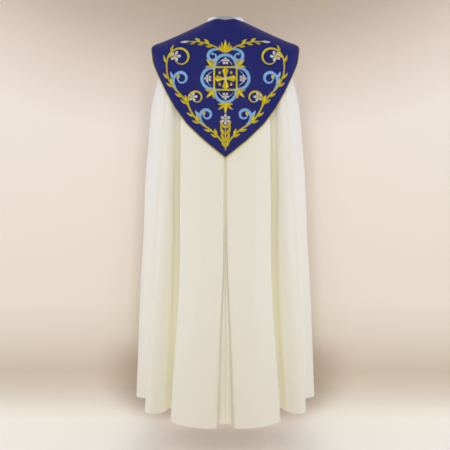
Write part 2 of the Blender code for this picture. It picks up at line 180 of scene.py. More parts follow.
def ring_at(rings, down):
    """The ring at a share of the length, between the rows of a table of rings."""
    numbers = [ring[1:] for ring in rings]
    return Ring("between", *curve_through([ring.down for ring in rings], numbers, [down])[0])


def plan_point(top, half_width):
    """Where angles round the body lie on the unit plan; 180 is the front edge, not the middle."""
    opening = math.degrees(math.asin(min(1, FRONT_OPENING / half_width) ** (SQUARENESS / 2)))
    top = np.radians(np.where(top > 90, 90 + (top - 90) * (90 - opening) / 90, top))
    power = 2 / SQUARENESS
    cosine = np.cos(top)
    return np.sin(top) ** power, -np.sign(cosine) * np.abs(cosine) ** power


def on_ring(ring, x, y):
    """The points in space of places on the unit plan of a ring."""
    side = x * x / (x * x + y * y)
    z_end = np.where(y < 0, ring.z_back, ring.z_front)
    depth = np.where(y < 0, ring.back, ring.front)
    return np.stack([x * ring.half_width, y * depth, ring.z_side * side + z_end * (1 - side)], -1)


def cope_row(down, folds):
    """One row of a panel, the plain ring at the top and the folded hem at the foot, and how far
    inside the plain ring each point lies."""
    x, y, top, start, ease = folds.T
    ring, hem = ring_at(COPE_RINGS, down), COPE_RINGS[-1]
    plan_x, plan_y = plan_point(top, ring.half_width)
    opened = np.clip((down - start) / (1 - start), 0, 1) ** ease
    plan_x += opened * (x / hem.half_width - plan_x)
    plan_y += opened * (y / np.where(y < 0, hem.back, hem.front) - plan_y)
    # The big back fold's edge hangs straight down, while the ring grows wider towards the hem.
    shift = (ring.edge - hem.edge) / (hem.edge * (1 - hem.edge))
    plan_x += shift * plan_x * (1 - plan_x) * (1 - plan_y) / 2
    # Under the hood the two lips of the centre fold hang close together.
    near_seam = (1 - soft_step(plan_x * ring.half_width, *LIPS_REACH)) * (plan_y < 0)
    plan_x *= 1 - LIPS_CLOSED * (1 - soft_step(down, *LIPS_PART)) * near_seam
    reach = (plan_x**SQUARENESS + np.abs(plan_y) ** SQUARENESS) ** (1 / SQUARENESS)
    return on_ring(ring, plan_x, plan_y), 1 - reach


def along(points, axis):
    """How far each point of a grid lies from the first one, measured along the cloth."""
    steps = np.linalg.norm(np.diff(points, axis=axis), axis=-1)
    pad = [(1, 0) if a == axis else (0, 0) for a in range(2)]
    return np.cumsum(np.pad(steps, pad), axis=axis)


def facing_out(points):
    """Unit normals of a grid whose rows run down and whose columns run round, back to front."""
    down, across = np.gradient(points, axis=0), np.gradient(points, axis=1)
    out = np.cross(down, across)
    return out / np.linalg.norm(out, axis=-1, keepdims=True)


def soft_step(value, first, last):
    """0 below `first`, 1 above `last`, smooth between them."""
    t = np.clip((value - first) / (last - first), 0, 1)
    return t * t * (3 - 2 * t)


def bump(value, width):
    return np.exp(-((value / width) ** 2))


def placed(name, data):
    """An object of the scene, at the origin."""
    made = bpy.data.objects.new(name, data)
    bpy.context.scene.collection.objects.link(made)
    return made


def marked(mesh, marks):
    for mark, values in marks.items():
        mesh.attributes.new(mark, "FLOAT", "POINT").data.foreach_set("value", values.ravel())


def cloth_mesh(name, points, **marks):
    """A grid of points as one sheet of quads, with its place on the cloth, in metres, as its UV."""
    rows, columns = points.shape[:2]
    index = np.arange(rows * columns).reshape(rows, columns)
    quads = np.stack([index[:-1, :-1], index[1:, :-1], index[1:, 1:], index[:-1, 1:]], -1)
    mesh = bpy.data.meshes.new(name)
    mesh.from_pydata(points.reshape(-1, 3).tolist(), [], quads.reshape(-1, 4).tolist())
    mesh.shade_smooth()
    places = np.stack([along(points, 1), along(points, 0)], -1).reshape(-1, 2)
    corners = np.empty(len(mesh.loops), int)
    mesh.loops.foreach_get("vertex_index", corners)
    mesh.uv_layers.new(name="cloth").data.foreach_set("uv", places[corners].ravel())
    marked(mesh, marks)
    return placed(name, mesh)


def wall(piece, thickness):
    """Gives a sheet its thickness, inwards from the face that shows."""
    modifier = piece.modifiers.new("thickness", "SOLIDIFY")
    modifier.thickness = thickness
    modifier.offset = -1
    modifier.use_even_offset = True


PANEL_COLUMNS = 250
PANEL_ROWS = 132
ROW_CROWDING = 1.08  # above 1, the rows crowd towards the neckline
HEM_STEPS = 4000  # steps in which the length of the hem's curve is measured
HEM_ROWS = [0.0016, 0.0030, 0.0042, 0.0052, 0.0062, 0.0075, 0.0095, 0.013]  # metres above the edge
EDGE_COLUMNS = [0.0015, 0.003, 0.0045, 0.006, 0.0075, 0.009, 0.012]  # metres in from the front edge
SEAM_COLUMNS = [0.001, 0.002, 0.0032, 0.005]  # metres from the centre-back seam
CLOTH_LENGTH = 1.428  # metres down the centre back
COPE_WALL = 0.002
SEAM_HALF_GAP = 0.0002
HEM_STITCHING = 0.0048  # metres above the hem's edge
EDGE_STITCHING = 0.0070
STITCH_DENT = 0.0005
STITCH_DENT_WIDTH = 0.0014
SEAM_DENT = 0.0012
SEAM_DENT_WIDTH = 0.0022
WANDER = (0.006, 9, 7)  # how far a crease strays from its line, how fast, and how it is shifted
HAND_LEDGE = 0.590  # share of the length where the hands hold the side lobes out
LEDGE_ABOVE, LEDGE_BELOW = 0.10, 0.016  # shares of the length over which it comes and goes
LEDGE_RISE = 0.0045
LEDGE_LOBES = [(0.69, 0.075, 1), (0.45, 0.05, 0.35)]  # metres along the hem, width, share of rise
# Painted light: the outer lobes over the arms, above the hands, are painted paler where the side
# lights fall, and so is the hem's edge.
SIDE_LIGHT_FROM = (0.33, 0.41)  # metres along the hem from the seam
SIDE_LIGHT_ENDS = (0.48, 0.70)  # shares of the length
HEM_HIGHLIGHT = 0.55  # the turned-up hem is double; a painted highlight lies along its edge
HEM_HIGHLIGHT_TO = (0.007, 0.010)  # metres above the hem's edge
HOLLOW_DEPTH = (0.01, 0.25)  # how far inside the plain ring the cloth of a fold's floor lies
HOLLOW_ASIDE = (0.03, 0.06)  # nearer the seam than this, a floor is less shaded

# Patches where the shade in the folds is lighter or deeper than their depth makes it: metres along
# the hem or from the seam, width, and the shares of the length between which the patch ends.
Patch = namedtuple("Patch", "place width ends")
BIG_FOLD_LIGHT = Patch(0.25, 0.03, (0.50, 0.70))
SEAM_SHADE = Patch(0, 0.014, (0.35, 0.60))
BETWEEN_LOBES_SHADE = Patch(0.562, 0.020, (0.46, 0.58))


def hem_line():
    """How far along the hem each column of a panel lies, and the folds' numbers read there."""
    table = np.array([fold[1:] for fold in HEM_FOLDS])
    chords = np.linalg.norm(np.diff(table[:, :2], axis=0), axis=1) ** CHORD_POWER
    knots = np.concatenate([[0], np.cumsum(chords)])
    fine = np.linspace(0, knots[-1], HEM_STEPS)
    far = along(curve_through(knots, table[:, :2], fine)[None], 1)[0]
    places = np.concatenate([
        np.linspace(0, far[-1], PANEL_COLUMNS), SEAM_COLUMNS, far[-1] - np.array(EDGE_COLUMNS)])
    places.sort()
    return places, curve_through(knots, table, np.interp(places, far, fine))


def panel_rise(down, place, side):
    """How far the creases, the ledge at the hands, the stitches and the seam move the cloth."""
    rise = 0
    far, fast, shift = WANDER
    for crease in (crease for crease in CREASES if crease.side in (0, side)):
        run = np.clip((down - crease.first) / (crease.last - crease.first), 0, 1)
        middle = crease.at_top + (crease.at_foot - crease.at_top) * run
        wander = far * np.sin(fast * down + shift * crease.at_top + side)
        strength = np.sin(np.pi * run) ** 0.7
        rise = rise + crease.rise * strength * bump(place - middle - wander, crease.width)
    lobes = sum(bump(place - middle, width) * share for middle, width, share in LEDGE_LOBES)
    ledge = soft_step(down, HAND_LEDGE - LEDGE_ABOVE, HAND_LEDGE)
    ledge *= 1 - soft_step(down, HAND_LEDGE, HAND_LEDGE + LEDGE_BELOW)
    rise += LEDGE_RISE * ledge * lobes
    above_hem = (1 - down) * CLOTH_LENGTH
    from_edge = place[0, -1] - place
    from_seam = place * np.clip(down * 2, 0.3, 1)
    rise -= STITCH_DENT * bump(above_hem - HEM_STITCHING, STITCH_DENT_WIDTH)
    rise -= STITCH_DENT * bump(from_edge - EDGE_STITCHING, 0.0016) * soft_step(above_hem, 0, 0.008)
    return rise - SEAM_DENT * bump(from_seam, SEAM_DENT_WIDTH)


def painted_light_share(down, place):
    """Painted light: 1 over the arms, above the hands, where the side lights fall, and a painted
    highlight along the hem's edge.
    """
    fresh = soft_step(place, *SIDE_LIGHT_FROM) * (1 - soft_step(down, *SIDE_LIGHT_ENDS))
    return fresh + HEM_HIGHLIGHT * (1 - soft_step((1 - down) * CLOTH_LENGTH, *HEM_HIGHLIGHT_TO))


def in_patch(patch, place, down):
    return bump(place - patch.place, patch.width) * (1 - soft_step(down, *patch.ends))


def fold_shade(inside, down, place, across):
    """How deep in a fold's shade the cloth lies, from 0 to 1."""
    hollow = soft_step(inside, *HOLLOW_DEPTH) * (0.4 + 0.6 * soft_step(across, *HOLLOW_ASIDE))
    hollow *= 1 - 0.5 * in_patch(BIG_FOLD_LIGHT, place, down)
    shade = in_patch(SEAM_SHADE, across, down) + in_patch(BETWEEN_LOBES_SHADE, place, down)
    return hollow + np.clip(shade, 0, 1) * (1 - hollow)


def panel_grid(side):
    """Points of one panel, from the seam round the wearer's arm to the front edge, and how deep in
    a fold each lies and how much painted light it gets there."""
    places, folds = hem_line()
    shares = np.concatenate([
        np.linspace(0, 1, PANEL_ROWS) ** ROW_CROWDING, 1 - np.array(HEM_ROWS) / CLOTH_LENGTH])
    shares.sort()
    points, inside = (
        np.array(item) for item in zip(*(cope_row(share, folds) for share in shares)))
    down, place = shares[:, None], places[None, :]
    points = points + facing_out(points) * panel_rise(down, place, side)[..., None]
    points[..., 0] = np.maximum(points[..., 0], SEAM_HALF_GAP)
    shade = fold_shade(inside, down, place, points[..., 0])
    return points, shade, painted_light_share(down, place)


def other_side(points):
    """The same grid on the wearer's other side, turned round so that it still faces out."""
    return (points * [-1, 1, 1])[:, ::-1]


panel_right_grid, hollow, fresh = panel_grid(1)
panel_right = cloth_mesh("panel_right", panel_right_grid, hollow=hollow, fresh=fresh)
panel_left_grid, hollow, fresh = panel_grid(-1)
panel_left = cloth_mesh(
    "panel_left", other_side(panel_left_grid), hollow=hollow[:, ::-1], fresh=fresh[:, ::-1])
panels = [(panel_right, "cope_right"), (panel_left, "cope_left")]


class Reading:
    """A value that a tree of nodes passes on. Sums on it become Math nodes of the same tree."""

    def __init__(self, nodes, socket):
        self.nodes, self.socket = nodes, socket

    def math(self, operation, *terms):
        """One Math node of the same tree on the values given."""
        return self.nodes.add("ShaderNodeMath", {"operation": operation}, dict(enumerate(terms)))

    def __add__(self, other):
        return self.math("ADD", self, other)

    def __sub__(self, other):
        return self.math("SUBTRACT", self, other)

    def __rsub__(self, other):
        return self.math("SUBTRACT", other, self)

    def __mul__(self, other):
        return self.math("MULTIPLY", self, other)

    def __truediv__(self, other):
        return self.math("DIVIDE", self, other)

    def __rtruediv__(self, other):
        return self.math("DIVIDE", other, self)

    __radd__, __rmul__ = __add__, __mul__


class Nodes:
    """The nodes of one material or one pattern of repeated pieces."""

    def __init__(self, tree):
        self.tree = tree

    def add(self, kind, settings=None, sockets=None, output=0):
        """Adds a node, sets it up, fills its sockets and returns one of its outputs."""
        node = self.tree.nodes.new(kind)
        for key, value in (settings or {}).items():
            if key == "stops":
                while len(node.color_ramp.elements) < len(value):
                    node.color_ramp.elements.new(0.5)
                for element, (place, colour) in zip(node.color_ramp.elements, value):
                    element.position, element.color = place, colour
            else:
                setattr(node, key, value)
        for key, value in (sockets or {}).items():
            if isinstance(value, Reading):
                self.tree.links.new(value.socket, node.inputs[key])
            else:
                node.inputs[key].default_value = value
        return Reading(self, node.outputs[output])


class Finish(Nodes):
    """A material. What is the same all over goes straight on the shader's own sockets."""

    def __init__(self, name, **constants):
        self.material = bpy.data.materials.new(name)
        self.material.use_nodes = True
        super().__init__(self.material.node_tree)
        self.shader = self.tree.nodes["Principled BSDF"]
        for socket, value in constants.items():
            self.shader.inputs[socket.replace("_", " ")].default_value = value

    def feed(self, socket, value):
        self.tree.links.new(value.socket, self.shader.inputs[socket])

    def mark(self, name):
        """What a piece or a stitch has been marked with."""
        return self.add("ShaderNodeAttribute", {"attribute_name": name}, output=2)

    def noise(self, scale, detail, where=None, **more):
        where = where or self.add("ShaderNodeTexCoord", output=3)
        return self.add("ShaderNodeTexNoise", {}, {
            "Vector": where, "Scale": scale, "Detail": detail, **more})

    def side(self, axis):
        """One of the places across (0), away (1) and up (2), in metres."""
        where = self.add("ShaderNodeTexCoord", output=3)
        return self.add("ShaderNodeSeparateXYZ", {}, {"Vector": where}, axis)

    def ramp(self, value, first, last, low=0, high=1, soft=True):
        """Goes from `low` to `high` while the value goes from `first` to `last`."""
        kind = "SMOOTHSTEP" if soft else "LINEAR"
        return self.add("ShaderNodeMapRange", {"interpolation_type": kind}, {
            "Value": value, "From Min": first, "From Max": last, "To Min": low, "To Max": high})

    def bumped(self, height, strength, distance):
        self.feed("Normal", self.add("ShaderNodeBump", {}, {
            "Height": height, "Strength": strength, "Distance": distance}))

    def place(self, scale=(1, 1, 1)):
        """The place on the cloth, in metres, stretched by `scale`."""
        where = self.add("ShaderNodeUVMap", {"uv_map": "cloth"})
        return self.add("ShaderNodeMapping", {}, {"Vector": where, "Scale": scale})

    def mixed(self, share, first, second):
        """Two colours mixed, by a share that varies over the cloth."""
        sockets = {"Factor": share, 6: first, 7: second}
        return self.add("ShaderNodeMix", {"data_type": "RGBA"}, sockets, 2)

    def weave(self, thread, turn=0.0):
        """The height of a plain weave: threads over and under, `thread` metres apart."""
        where = self.add("ShaderNodeUVMap", {"uv_map": "cloth"})
        warp, weft = (
            self.add("ShaderNodeTexWave", {"bands_direction": "X"}, {
                "Scale": math.pi / 10 / thread, "Distortion": 0.0,
                "Vector": self.add("ShaderNodeMapping", {}, {
                    "Vector": where, "Rotation": (0, 0, math.radians(angle))})})
            for angle in (turn, turn + 90))
        return warp + weft


IVORY = (0.868, 0.836, 0.726, 1)
IVORY_WARM = (0.858, 0.820, 0.688, 1)
IVORY_PALE = (0.872, 0.845, 0.746, 1)
IVORY_SIDE_LIT = (0.878, 0.858, 0.785, 1)  # painted light over the arms, above the hands, where the side lights fall
IVORY_SHADED = (0.850, 0.810, 0.640, 1)  # in the folds' upper parts, which hold each other's shade
IVORY_SLOPE_GLOW = (0.970, 0.952, 0.910, 1)  # painted light in their lower parts: the warm glow bounced between the folds' walls
IVORY_HOLLOW_GLOW = (0.985, 0.958, 0.775, 1)  # and a stronger painted glow at the bottom of them
IVORY_LOW_SHADE = (0.822, 0.788, 0.662, 1)  # painted shade: darker and warmer towards the hem, where less light reaches


def ivory_cloth():
    finish = Finish("ivory_cloth", Roughness=0.82, Sheen_Weight=0.18, Sheen_Roughness=0.5)
    slub = finish.noise(9, 4, finish.place((3, 0.7, 1)), Roughness=0.6)
    cloud = finish.noise(2.2, 2, finish.place())
    streak = finish.noise(1, 2, finish.place((260, 12, 1)))
    base = finish.mixed(slub * 0.5 + cloud * 0.5, IVORY_PALE, IVORY_WARM)
    base = finish.mixed((streak - 0.5) * 0.35 + 0.25, base, IVORY)
    up, hollow = finish.side(2), finish.mark("hollow")
    # Painted shade: darker and warmer towards the hem.
    base = finish.mixed(finish.ramp(up, -0.85, -1.32, soft=False), base, IVORY_LOW_SHADE)
    # Painted light over the arms and a painted highlight along the hem.
    base = finish.mixed(finish.mark("fresh"), base, IVORY_SIDE_LIT)
    # Painted shade in the folds' upper parts, and painted bounced light in their lower parts.
    low = finish.ramp(up, -0.55, -1.10, soft=False)
    in_folds = finish.mixed(low, IVORY_SHADED, finish.mixed(hollow, IVORY_SLOPE_GLOW, IVORY_HOLLOW_GLOW))
    finish.feed("Base Color", finish.mixed(hollow, base, in_folds))
    finish.bumped(finish.weave(0.0007) * 0.5 + streak * 0.8 + slub * 0.4, 0.22, 0.0005)
    return finish.material


panel_cloth = ivory_cloth()
for panel, node in panels:
    panel.data.materials.append(panel_cloth)
    wall(panel, COPE_WALL)
    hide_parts(node)
    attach(panel, "root")


# ------------------------------------------------------------
# The sewing of the panels. Ivory thread holds the turned-up hem and the facings down the front
# edges; each stitch is a short arch of thread that dips into the cloth at both ends.

STITCH_LENGTH = 0.0030
STITCH_GAP = 0.0011
THREAD_RADIUS = 0.00038
STITCH_ARCH = 2.4  # height of the point that an arch bends towards, in radii of the thread
STITCH_UNEVEN = (0.88, 1.06)  # shares of the length from the shortest stitch to the longest


def stitched_line(name, points, out, edges=None, **marks):
    """Lines of places on the cloth with the direction that faces out of it, for stitches."""
    mesh = bpy.data.meshes.new(name)
    mesh.from_pydata(points.tolist(), edges or [(i, i + 1) for i in range(len(points) - 1)], [])
    mesh.attributes.new("out", "FLOAT_VECTOR", "POINT").data.foreach_set("vector", out.ravel())
    marked(mesh, marks)
    return placed(name, mesh)


class Pattern(Nodes):
    """A tree that repeats small pieces along lines; its inputs are sizes with names."""

    def __init__(self, name, **sizes):
        tree = bpy.data.node_groups.new(name, "GeometryNodeTree")
        tree.is_modifier = True
        super().__init__(tree)
        tree.interface.new_socket("Lines", in_out="INPUT", socket_type="NodeSocketGeometry")
        self.sockets = {}
        for size, kind in sizes.items():
            made = tree.interface.new_socket(size, in_out="INPUT", socket_type=f"NodeSocket{kind}")
            self.sockets[size] = made.identifier
        tree.interface.new_socket("Pieces", in_out="OUTPUT", socket_type="NodeSocketGeometry")
        self.entry = tree.nodes.new("NodeGroupInput")
        self.exit = tree.nodes.new("NodeGroupOutput")

    def given(self, size):
        return Reading(self, self.entry.outputs[size])

    def read(self, mark, kind="FLOAT"):
        return self.add("GeometryNodeInputNamedAttribute", {"data_type": kind}, {"Name": mark})

    def uneven(self, least, most, seed):
        return self.add("FunctionNodeRandomValue", {"data_type": "FLOAT"}, {
            2: least, 3: most, "Seed": seed}, 1)

    def spaced(self, step):
        """The lines that the tree is given, with points at even steps."""
        line = self.add("GeometryNodeMeshToCurve", {}, {"Mesh": self.given("Lines")})
        return self.add("GeometryNodeResampleCurve", {"mode": "LENGTH"}, {
            "Curve": line, "Length": step})

    def vector(self, **sizes):
        return self.add("ShaderNodeCombineXYZ", {}, sizes)

    def arch(self, start, middle, end):
        return self.add("GeometryNodeCurveQuadraticBezier", {}, {
            "Resolution": 3, "Start": start, "Middle": middle, "End": end})

    def ring(self, corners, radius):
        return self.add("GeometryNodeCurvePrimitiveCircle", {}, {
            "Resolution": corners, "Radius": radius})

    def swept(self, line, section):
        return self.add("GeometryNodeCurveToMesh", {}, {
            "Curve": line, "Profile Curve": section, "Fill Caps": True})

    def upright(self):
        """The turn that sets a piece's Z out of the cloth and its X along the line."""
        stood = self.add("FunctionNodeAlignRotationToVector", {"axis": "Z"}, {
            "Vector": self.read("out", "FLOAT_VECTOR")})
        return self.add("FunctionNodeAlignRotationToVector", {"axis": "X", "pivot_axis": "Z"}, {
            "Rotation": stood, "Vector": self.add("GeometryNodeInputTangent")})

    def repeated(self, points, piece, turn, size, material):
        """The same piece at each point; ends the tree."""
        self.ends_in(self.add("GeometryNodeInstanceOnPoints", {}, {
            "Points": points, "Instance": piece, "Rotation": turn, "Scale": size}), material)
        return self

    def ends_in(self, pieces, material):
        """Makes the repeated pieces real, gives them their material and ends the tree."""
        real = self.add("GeometryNodeRealizeInstances", {}, {"Geometry": pieces})
        done = self.add("GeometryNodeSetMaterial", {}, {"Geometry": real, "Material": material})
        self.tree.links.new(done.socket, self.exit.inputs["Pieces"])

    def applied(self, piece, **sizes):
        """The plain mesh that the tree makes from a piece, in that piece's place."""
        modifier = piece.modifiers.new("pattern", "NODES")
        modifier.node_group = self.tree
        for size, value in sizes.items():
            modifier[self.sockets[size]] = value
        graph = bpy.context.evaluated_depsgraph_get()
        made = bpy.data.meshes.new_from_object(piece.evaluated_get(graph))
        piece.modifiers.remove(modifier)
        made.name = piece.name
        piece.data = made
        return piece


def thread_finish(name, colour, shine):
    finish = Finish(name, Roughness=0.62 - 0.3 * shine, Sheen_Weight=0.1)
    dark = tuple(part * 0.78 for part in colour[:3]) + (1,)
    finish.feed("Base Color", finish.mixed(finish.noise(900, 1), dark, colour))
    return finish.material


def running_stitches(name, material):
    """Short arches of thread, one after another along a line."""
    pattern = Pattern(name, Length="Float", Gap="Float", Radius="Float", Seed="Int")
    length, radius = pattern.given("Length"), pattern.given("Radius")
    top = pattern.vector(Z=radius * STITCH_ARCH)
    stitch = pattern.swept(pattern.arch((-0.5, 0, 0), top, (0.5, 0, 0)), pattern.ring(5, radius))
    uneven = pattern.uneven(*STITCH_UNEVEN, pattern.given("Seed"))
    size = pattern.vector(X=length * uneven, Y=1.0, Z=uneven)
    spaced = pattern.spaced(length + pattern.given("Gap"))
    return pattern.repeated(spaced, stitch, pattern.upright(), size, material)


ivory_thread = thread_finish("ivory_thread", (0.80, 0.73, 0.58, 1), 0.3)
ivory_stitching = running_stitches("ivory_stitching", ivory_thread)


def at_height(points, out, above):
    """The row of a grid that lies `above` its foot, measured along the cloth."""
    far = along(points, 0)
    share = (far[-1] - above)[None, :]
    row = np.clip((far < share).sum(0) - 1, 0, len(points) - 2)
    column = np.arange(points.shape[1])
    t = ((share[0] - far[row, column]) / (far[row + 1, column] - far[row, column]))[:, None]
    return points[row, column] * (1 - t) + points[row + 1, column] * t, out[row, column]


def sewing_of(name, points, side):
    """The hem's stitches and those of the front facing, on one panel."""
    out = facing_out(points)
    across = (np.swapaxes(item, 0, 1) for item in (points, out))
    rows = [
        [row[3:-4] for row in at_height(points, out, HEM_STITCHING)],
        [row[6:-6] for row in at_height(*across, EDGE_STITCHING)],
    ]
    parts = []
    for i, row in enumerate(rows):
        places, ways = (item * [side, 1, 1] for item in row)
        line = stitched_line(f"{name}_{i}", places + ways * THREAD_RADIUS * 0.2, ways)
        parts.append(ivory_stitching.applied(
            line, Length=STITCH_LENGTH, Gap=STITCH_GAP, Radius=THREAD_RADIUS, Seed=3 + i))
    return joined(name, parts)


def joined(name, parts):
    """Several plain meshes as one piece."""
    with bpy.context.temp_override(
            active_object=parts[0], object=parts[0],
            selected_objects=parts, selected_editable_objects=parts):
        bpy.ops.object.join()
    parts[0].name = parts[0].data.name = name
    return parts[0]


panel_sewing = [
    sewing_of("sewing_right", panel_right_grid, 1),
    sewing_of("sewing_left", panel_left_grid, -1),
]
for sewing, (panel, _) in zip(panel_sewing, panels):
    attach(sewing, "root")


# ------------------------------------------------------------
# The neck band. A narrow strip of stiffened pale cloth stands up inside the neckline, folded over
# at its top and stitched along both edges; it keeps the cope off the wearer's collar.

BAND_TOP = 0.0145
BAND_SUNK = 0.004  # how far the band reaches down inside the neckline
BAND_LEAN = 0.005  # how much narrower it is at its top
BAND_WALL = 0.0016
BAND_GAP = 0.0004
BAND_ARCH = 0.0012  # the top stands a little higher at the nape and falls to the sides
BAND_DROP = 0.0030
BAND_LAP = 0.0085  # how far the band's foot spreads at the sides, over the end of the shoulder
BAND_COLUMNS = 70
BAND_ROWS = [1, 0.985, 0.95, 0.88, 0.8, 0.7, 0.6, 0.5, 0.4, 0.3, 0.22, 0.14, 0.07, 0]
BAND_DENTS = [(0.86, 0.05), (0.2, 0.06)]  # height and width of what its two rows of stitches do
BAND_DENT = 0.0004
BAND_FOLD = 0.0006  # how far its top edge rolls in


def both_sides(half):
    """A grid that starts at the centre back, with its mirror image joined on before it."""
    return np.concatenate([other_side(half[:, 1:]), half], 1)


def band_grid():
    """The band's outer face, from its top edge down, all the way round."""
    ring = COPE_RINGS[0]
    level = ring._replace(
        z_back=BAND_TOP + BAND_ARCH, z_side=BAND_TOP - BAND_DROP, z_front=BAND_TOP + ring.z_front)
    tops = np.linspace(0, 180, BAND_COLUMNS)
    x, y = plan_point(tops, ring.half_width)
    rows = []
    for up in BAND_ROWS:
        lean = COPE_WALL + BAND_GAP + BAND_LEAN * up + BAND_FOLD * soft_step(up, 0.95, 1)
        lean += BAND_DENT * sum(bump(up - middle, width) for middle, width in BAND_DENTS)
        between = Ring("band", *(up * np.array(level[1:]) + (1 - up) * np.array(ring[1:])))
        narrow = between._replace(
            half_width=ring.half_width - lean, back=ring.back - lean, front=ring.front - lean)
        row = on_ring(narrow, x, y) - [0, 0, BAND_SUNK * (1 - up)]
        row[:, 0] += BAND_LAP * (1 - up) * np.sin(np.radians(tops)) ** 6
        rows.append(row)
    return both_sides(np.array(rows))


def pale_band_cloth():
    finish = Finish("pale_band_cloth", Roughness=0.6, Sheen_Weight=0.25)
    across = finish.side(0)
    # Painted shade: the band is grey across the nape and pale only towards its sides, where light
    # catches its curve.
    sides = finish.ramp(across.math("ABSOLUTE", across), 0.018, 0.052)
    base = finish.mixed(sides, (0.40, 0.40, 0.39, 1), (0.86, 0.91, 0.97, 1))
    worn = finish.noise(60, 3) * 0.25
    finish.feed("Base Color", finish.mixed(worn, base, (0.45, 0.45, 0.45, 1)))
    finish.bumped(finish.weave(0.0005), 0.2, 0.0004)
    return finish.material


neck_band = cloth_mesh("band_cloth", band_grid())
neck_band.data.materials.append(pale_band_cloth())
wall(neck_band, BAND_WALL)
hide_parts("neck_band")
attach(neck_band, "root")


# ------------------------------------------------------------
# The hood. A shield of deep blue satin over stiff interlining, laid on the back and shoulders and
# joined to the neckline; its straight upper line runs from the neck out to two soft corners.

# The rings that the hood lies on, just outside the cope's; without a big fold, "edge" is 0.
HOOD_RINGS = [
    Ring("neckline", 0.000, 0.003, -0.004, -0.040, 0.0725, 0.0705, 0.0665, 0),
    Ring("collar bone", 0.035, -0.038, -0.0245, -0.075, 0.1180, 0.0985, 0.0895, 0),
    Ring("shoulder slope", 0.075, -0.089, -0.0470, -0.116, 0.1670, 0.1210, 0.1090, 0),
    Ring("shoulder line", 0.115, -0.142, -0.0680, -0.165, 0.2160, 0.1370, 0.1230, 0),
    Ring("corner", 0.155, -0.198, -0.0900, -0.219, 0.2670, 0.1480, 0.1320, 0),
    Ring("below the corner", 0.195, -0.255, -0.1270, -0.273, 0.2780, 0.1555, 0.1385, 0),
    Ring("shoulder blade", 0.235, -0.312, -0.1850, -0.328, 0.2730, 0.1625, 0.1450, 0),
    Ring("waist of the hood", 0.300, -0.404, -0.2850, -0.415, 0.2790, 0.1730, 0.1550, 0),
    Ring("tip", 0.400, -0.548, -0.4250, -0.560, 0.2900, 0.1900, 0.1700, 0),
]

# Outlines of the hood: half its width at each height, on the back and on the front.
Outline = namedtuple("Outline", "z half_width")
HOOD_BACK_OUTLINE = [
    Outline(-0.060, 0.2400),
    Outline(-0.082, 0.2560),
    Outline(-0.094, 0.2628),
    Outline(-0.108, 0.2612),
    Outline(-0.144, 0.2565),
    Outline(-0.166, 0.2485),
    Outline(-0.194, 0.2357),
    Outline(-0.251, 0.2073),
    Outline(-0.307, 0.1750),
    Outline(-0.362, 0.1325),
    Outline(-0.418, 0.0730),
    Outline(-0.476, 0.0000),
    Outline(-0.540, -0.0810),
]
HOOD_FRONT_OUTLINE = HOOD_BACK_OUTLINE[:3] + [
    Outline(-0.106, 0.2600),
    Outline(-0.130, 0.2450),
    Outline(-0.160, 0.2100),
    Outline(-0.190, 0.1500),
    Outline(-0.205, 0.0900),
    Outline(-0.212, 0.0300),
    Outline(-0.230, -0.2000),
]
HOOD_COLUMNS = 78
HOOD_FRONT_COLUMNS = 36
HOOD_BACK_SPREAD = 1.35  # above 1, the lines crowd towards the shoulder, where the corner is
HOOD_FRONT_SPREAD = 1.2
HOOD_ROWS = 64
HALVINGS = 24  # steps in the search for the hood's edge
HOOD_WALL = 0.0025
HOOD_STITCHING = 0.0075  # metres in from the free edge
NAPE_RISE = 0.0038  # the neckline runs straight across the nape, a little lower in the middle
NAPE_DIP = 0.0012
NAPE_ASIDE = (0.05, 0.08)  # metres from the middle between which both end
NAPE_DOWN = 0.07  # share of a line's length where both end
NAPE_BACKS = (0.032, 0.017)  # where the rise lies on either side, and its width
NAPE_MIDDLE = 0.012
EDGE_ROWS = [0.993, 0.997]
EDGE_ROLL = 0.0009  # how far the hood thins where its edge is turned in under the cord
EDGE_ROLL_WIDTH = 0.0035
HOOD_DENT = 0.0004


def hood_point(down, top):
    ring = ring_at(HOOD_RINGS, down)
    return on_ring(ring, *plan_point(np.array([top]), ring.half_width))[0]


def hood_edge(top):
    """How far down the hood reaches on one line from the neck, found by halving."""
    rows = (HOOD_BACK_OUTLINE if top <= 90 else HOOD_FRONT_OUTLINE)[::-1]
    near, far = HOOD_RINGS[0].down, HOOD_RINGS[-1].down
    for _ in range(HALVINGS):
        middle = (near + far) / 2
        x, _, z = hood_point(middle, top)
        if x < np.interp(z, [row.z for row in rows], [row.half_width for row in rows]):
            near = middle
        else:
            far = middle
    return near


def hood_grid():
    """Points of the hood's face, from one front edge round the back to the other."""
    back = 90 * (1 - (1 - np.linspace(0, 1, HOOD_COLUMNS)) ** HOOD_BACK_SPREAD)
    front = 90 + 90 * np.linspace(0, 1, HOOD_FRONT_COLUMNS)[1:] ** HOOD_FRONT_SPREAD
    shares = np.sort(np.append(np.linspace(0, 1, HOOD_ROWS), EDGE_ROWS))
    columns = []
    for top in np.concatenate([back, front]):
        edge = hood_edge(top)
        columns.append([hood_point(share * edge, top) for share in shares])
    half = np.swapaxes(np.array(columns), 0, 1)
    aside = half[..., 0]
    nape = (1 - soft_step(aside, *NAPE_ASIDE)) * (half[..., 1] < 0)
    nape *= (1 - soft_step(shares, 0, NAPE_DOWN))[:, None]
    place, width = NAPE_BACKS
    rise = NAPE_RISE * bump(aside - place, width) - NAPE_DIP * bump(aside, NAPE_MIDDLE)
    half[..., 2] += nape * rise
    return both_sides(half)


hood_points = hood_grid()
hood_out = facing_out(hood_points)
from_edge = along(hood_points, 0)
from_edge = from_edge[-1] - from_edge
hood_face = hood_points - hood_out * (EDGE_ROLL * bump(from_edge, EDGE_ROLL_WIDTH))[..., None]
hood_face -= hood_out * (HOOD_DENT * bump(from_edge - HOOD_STITCHING, STITCH_DENT_WIDTH))[..., None]


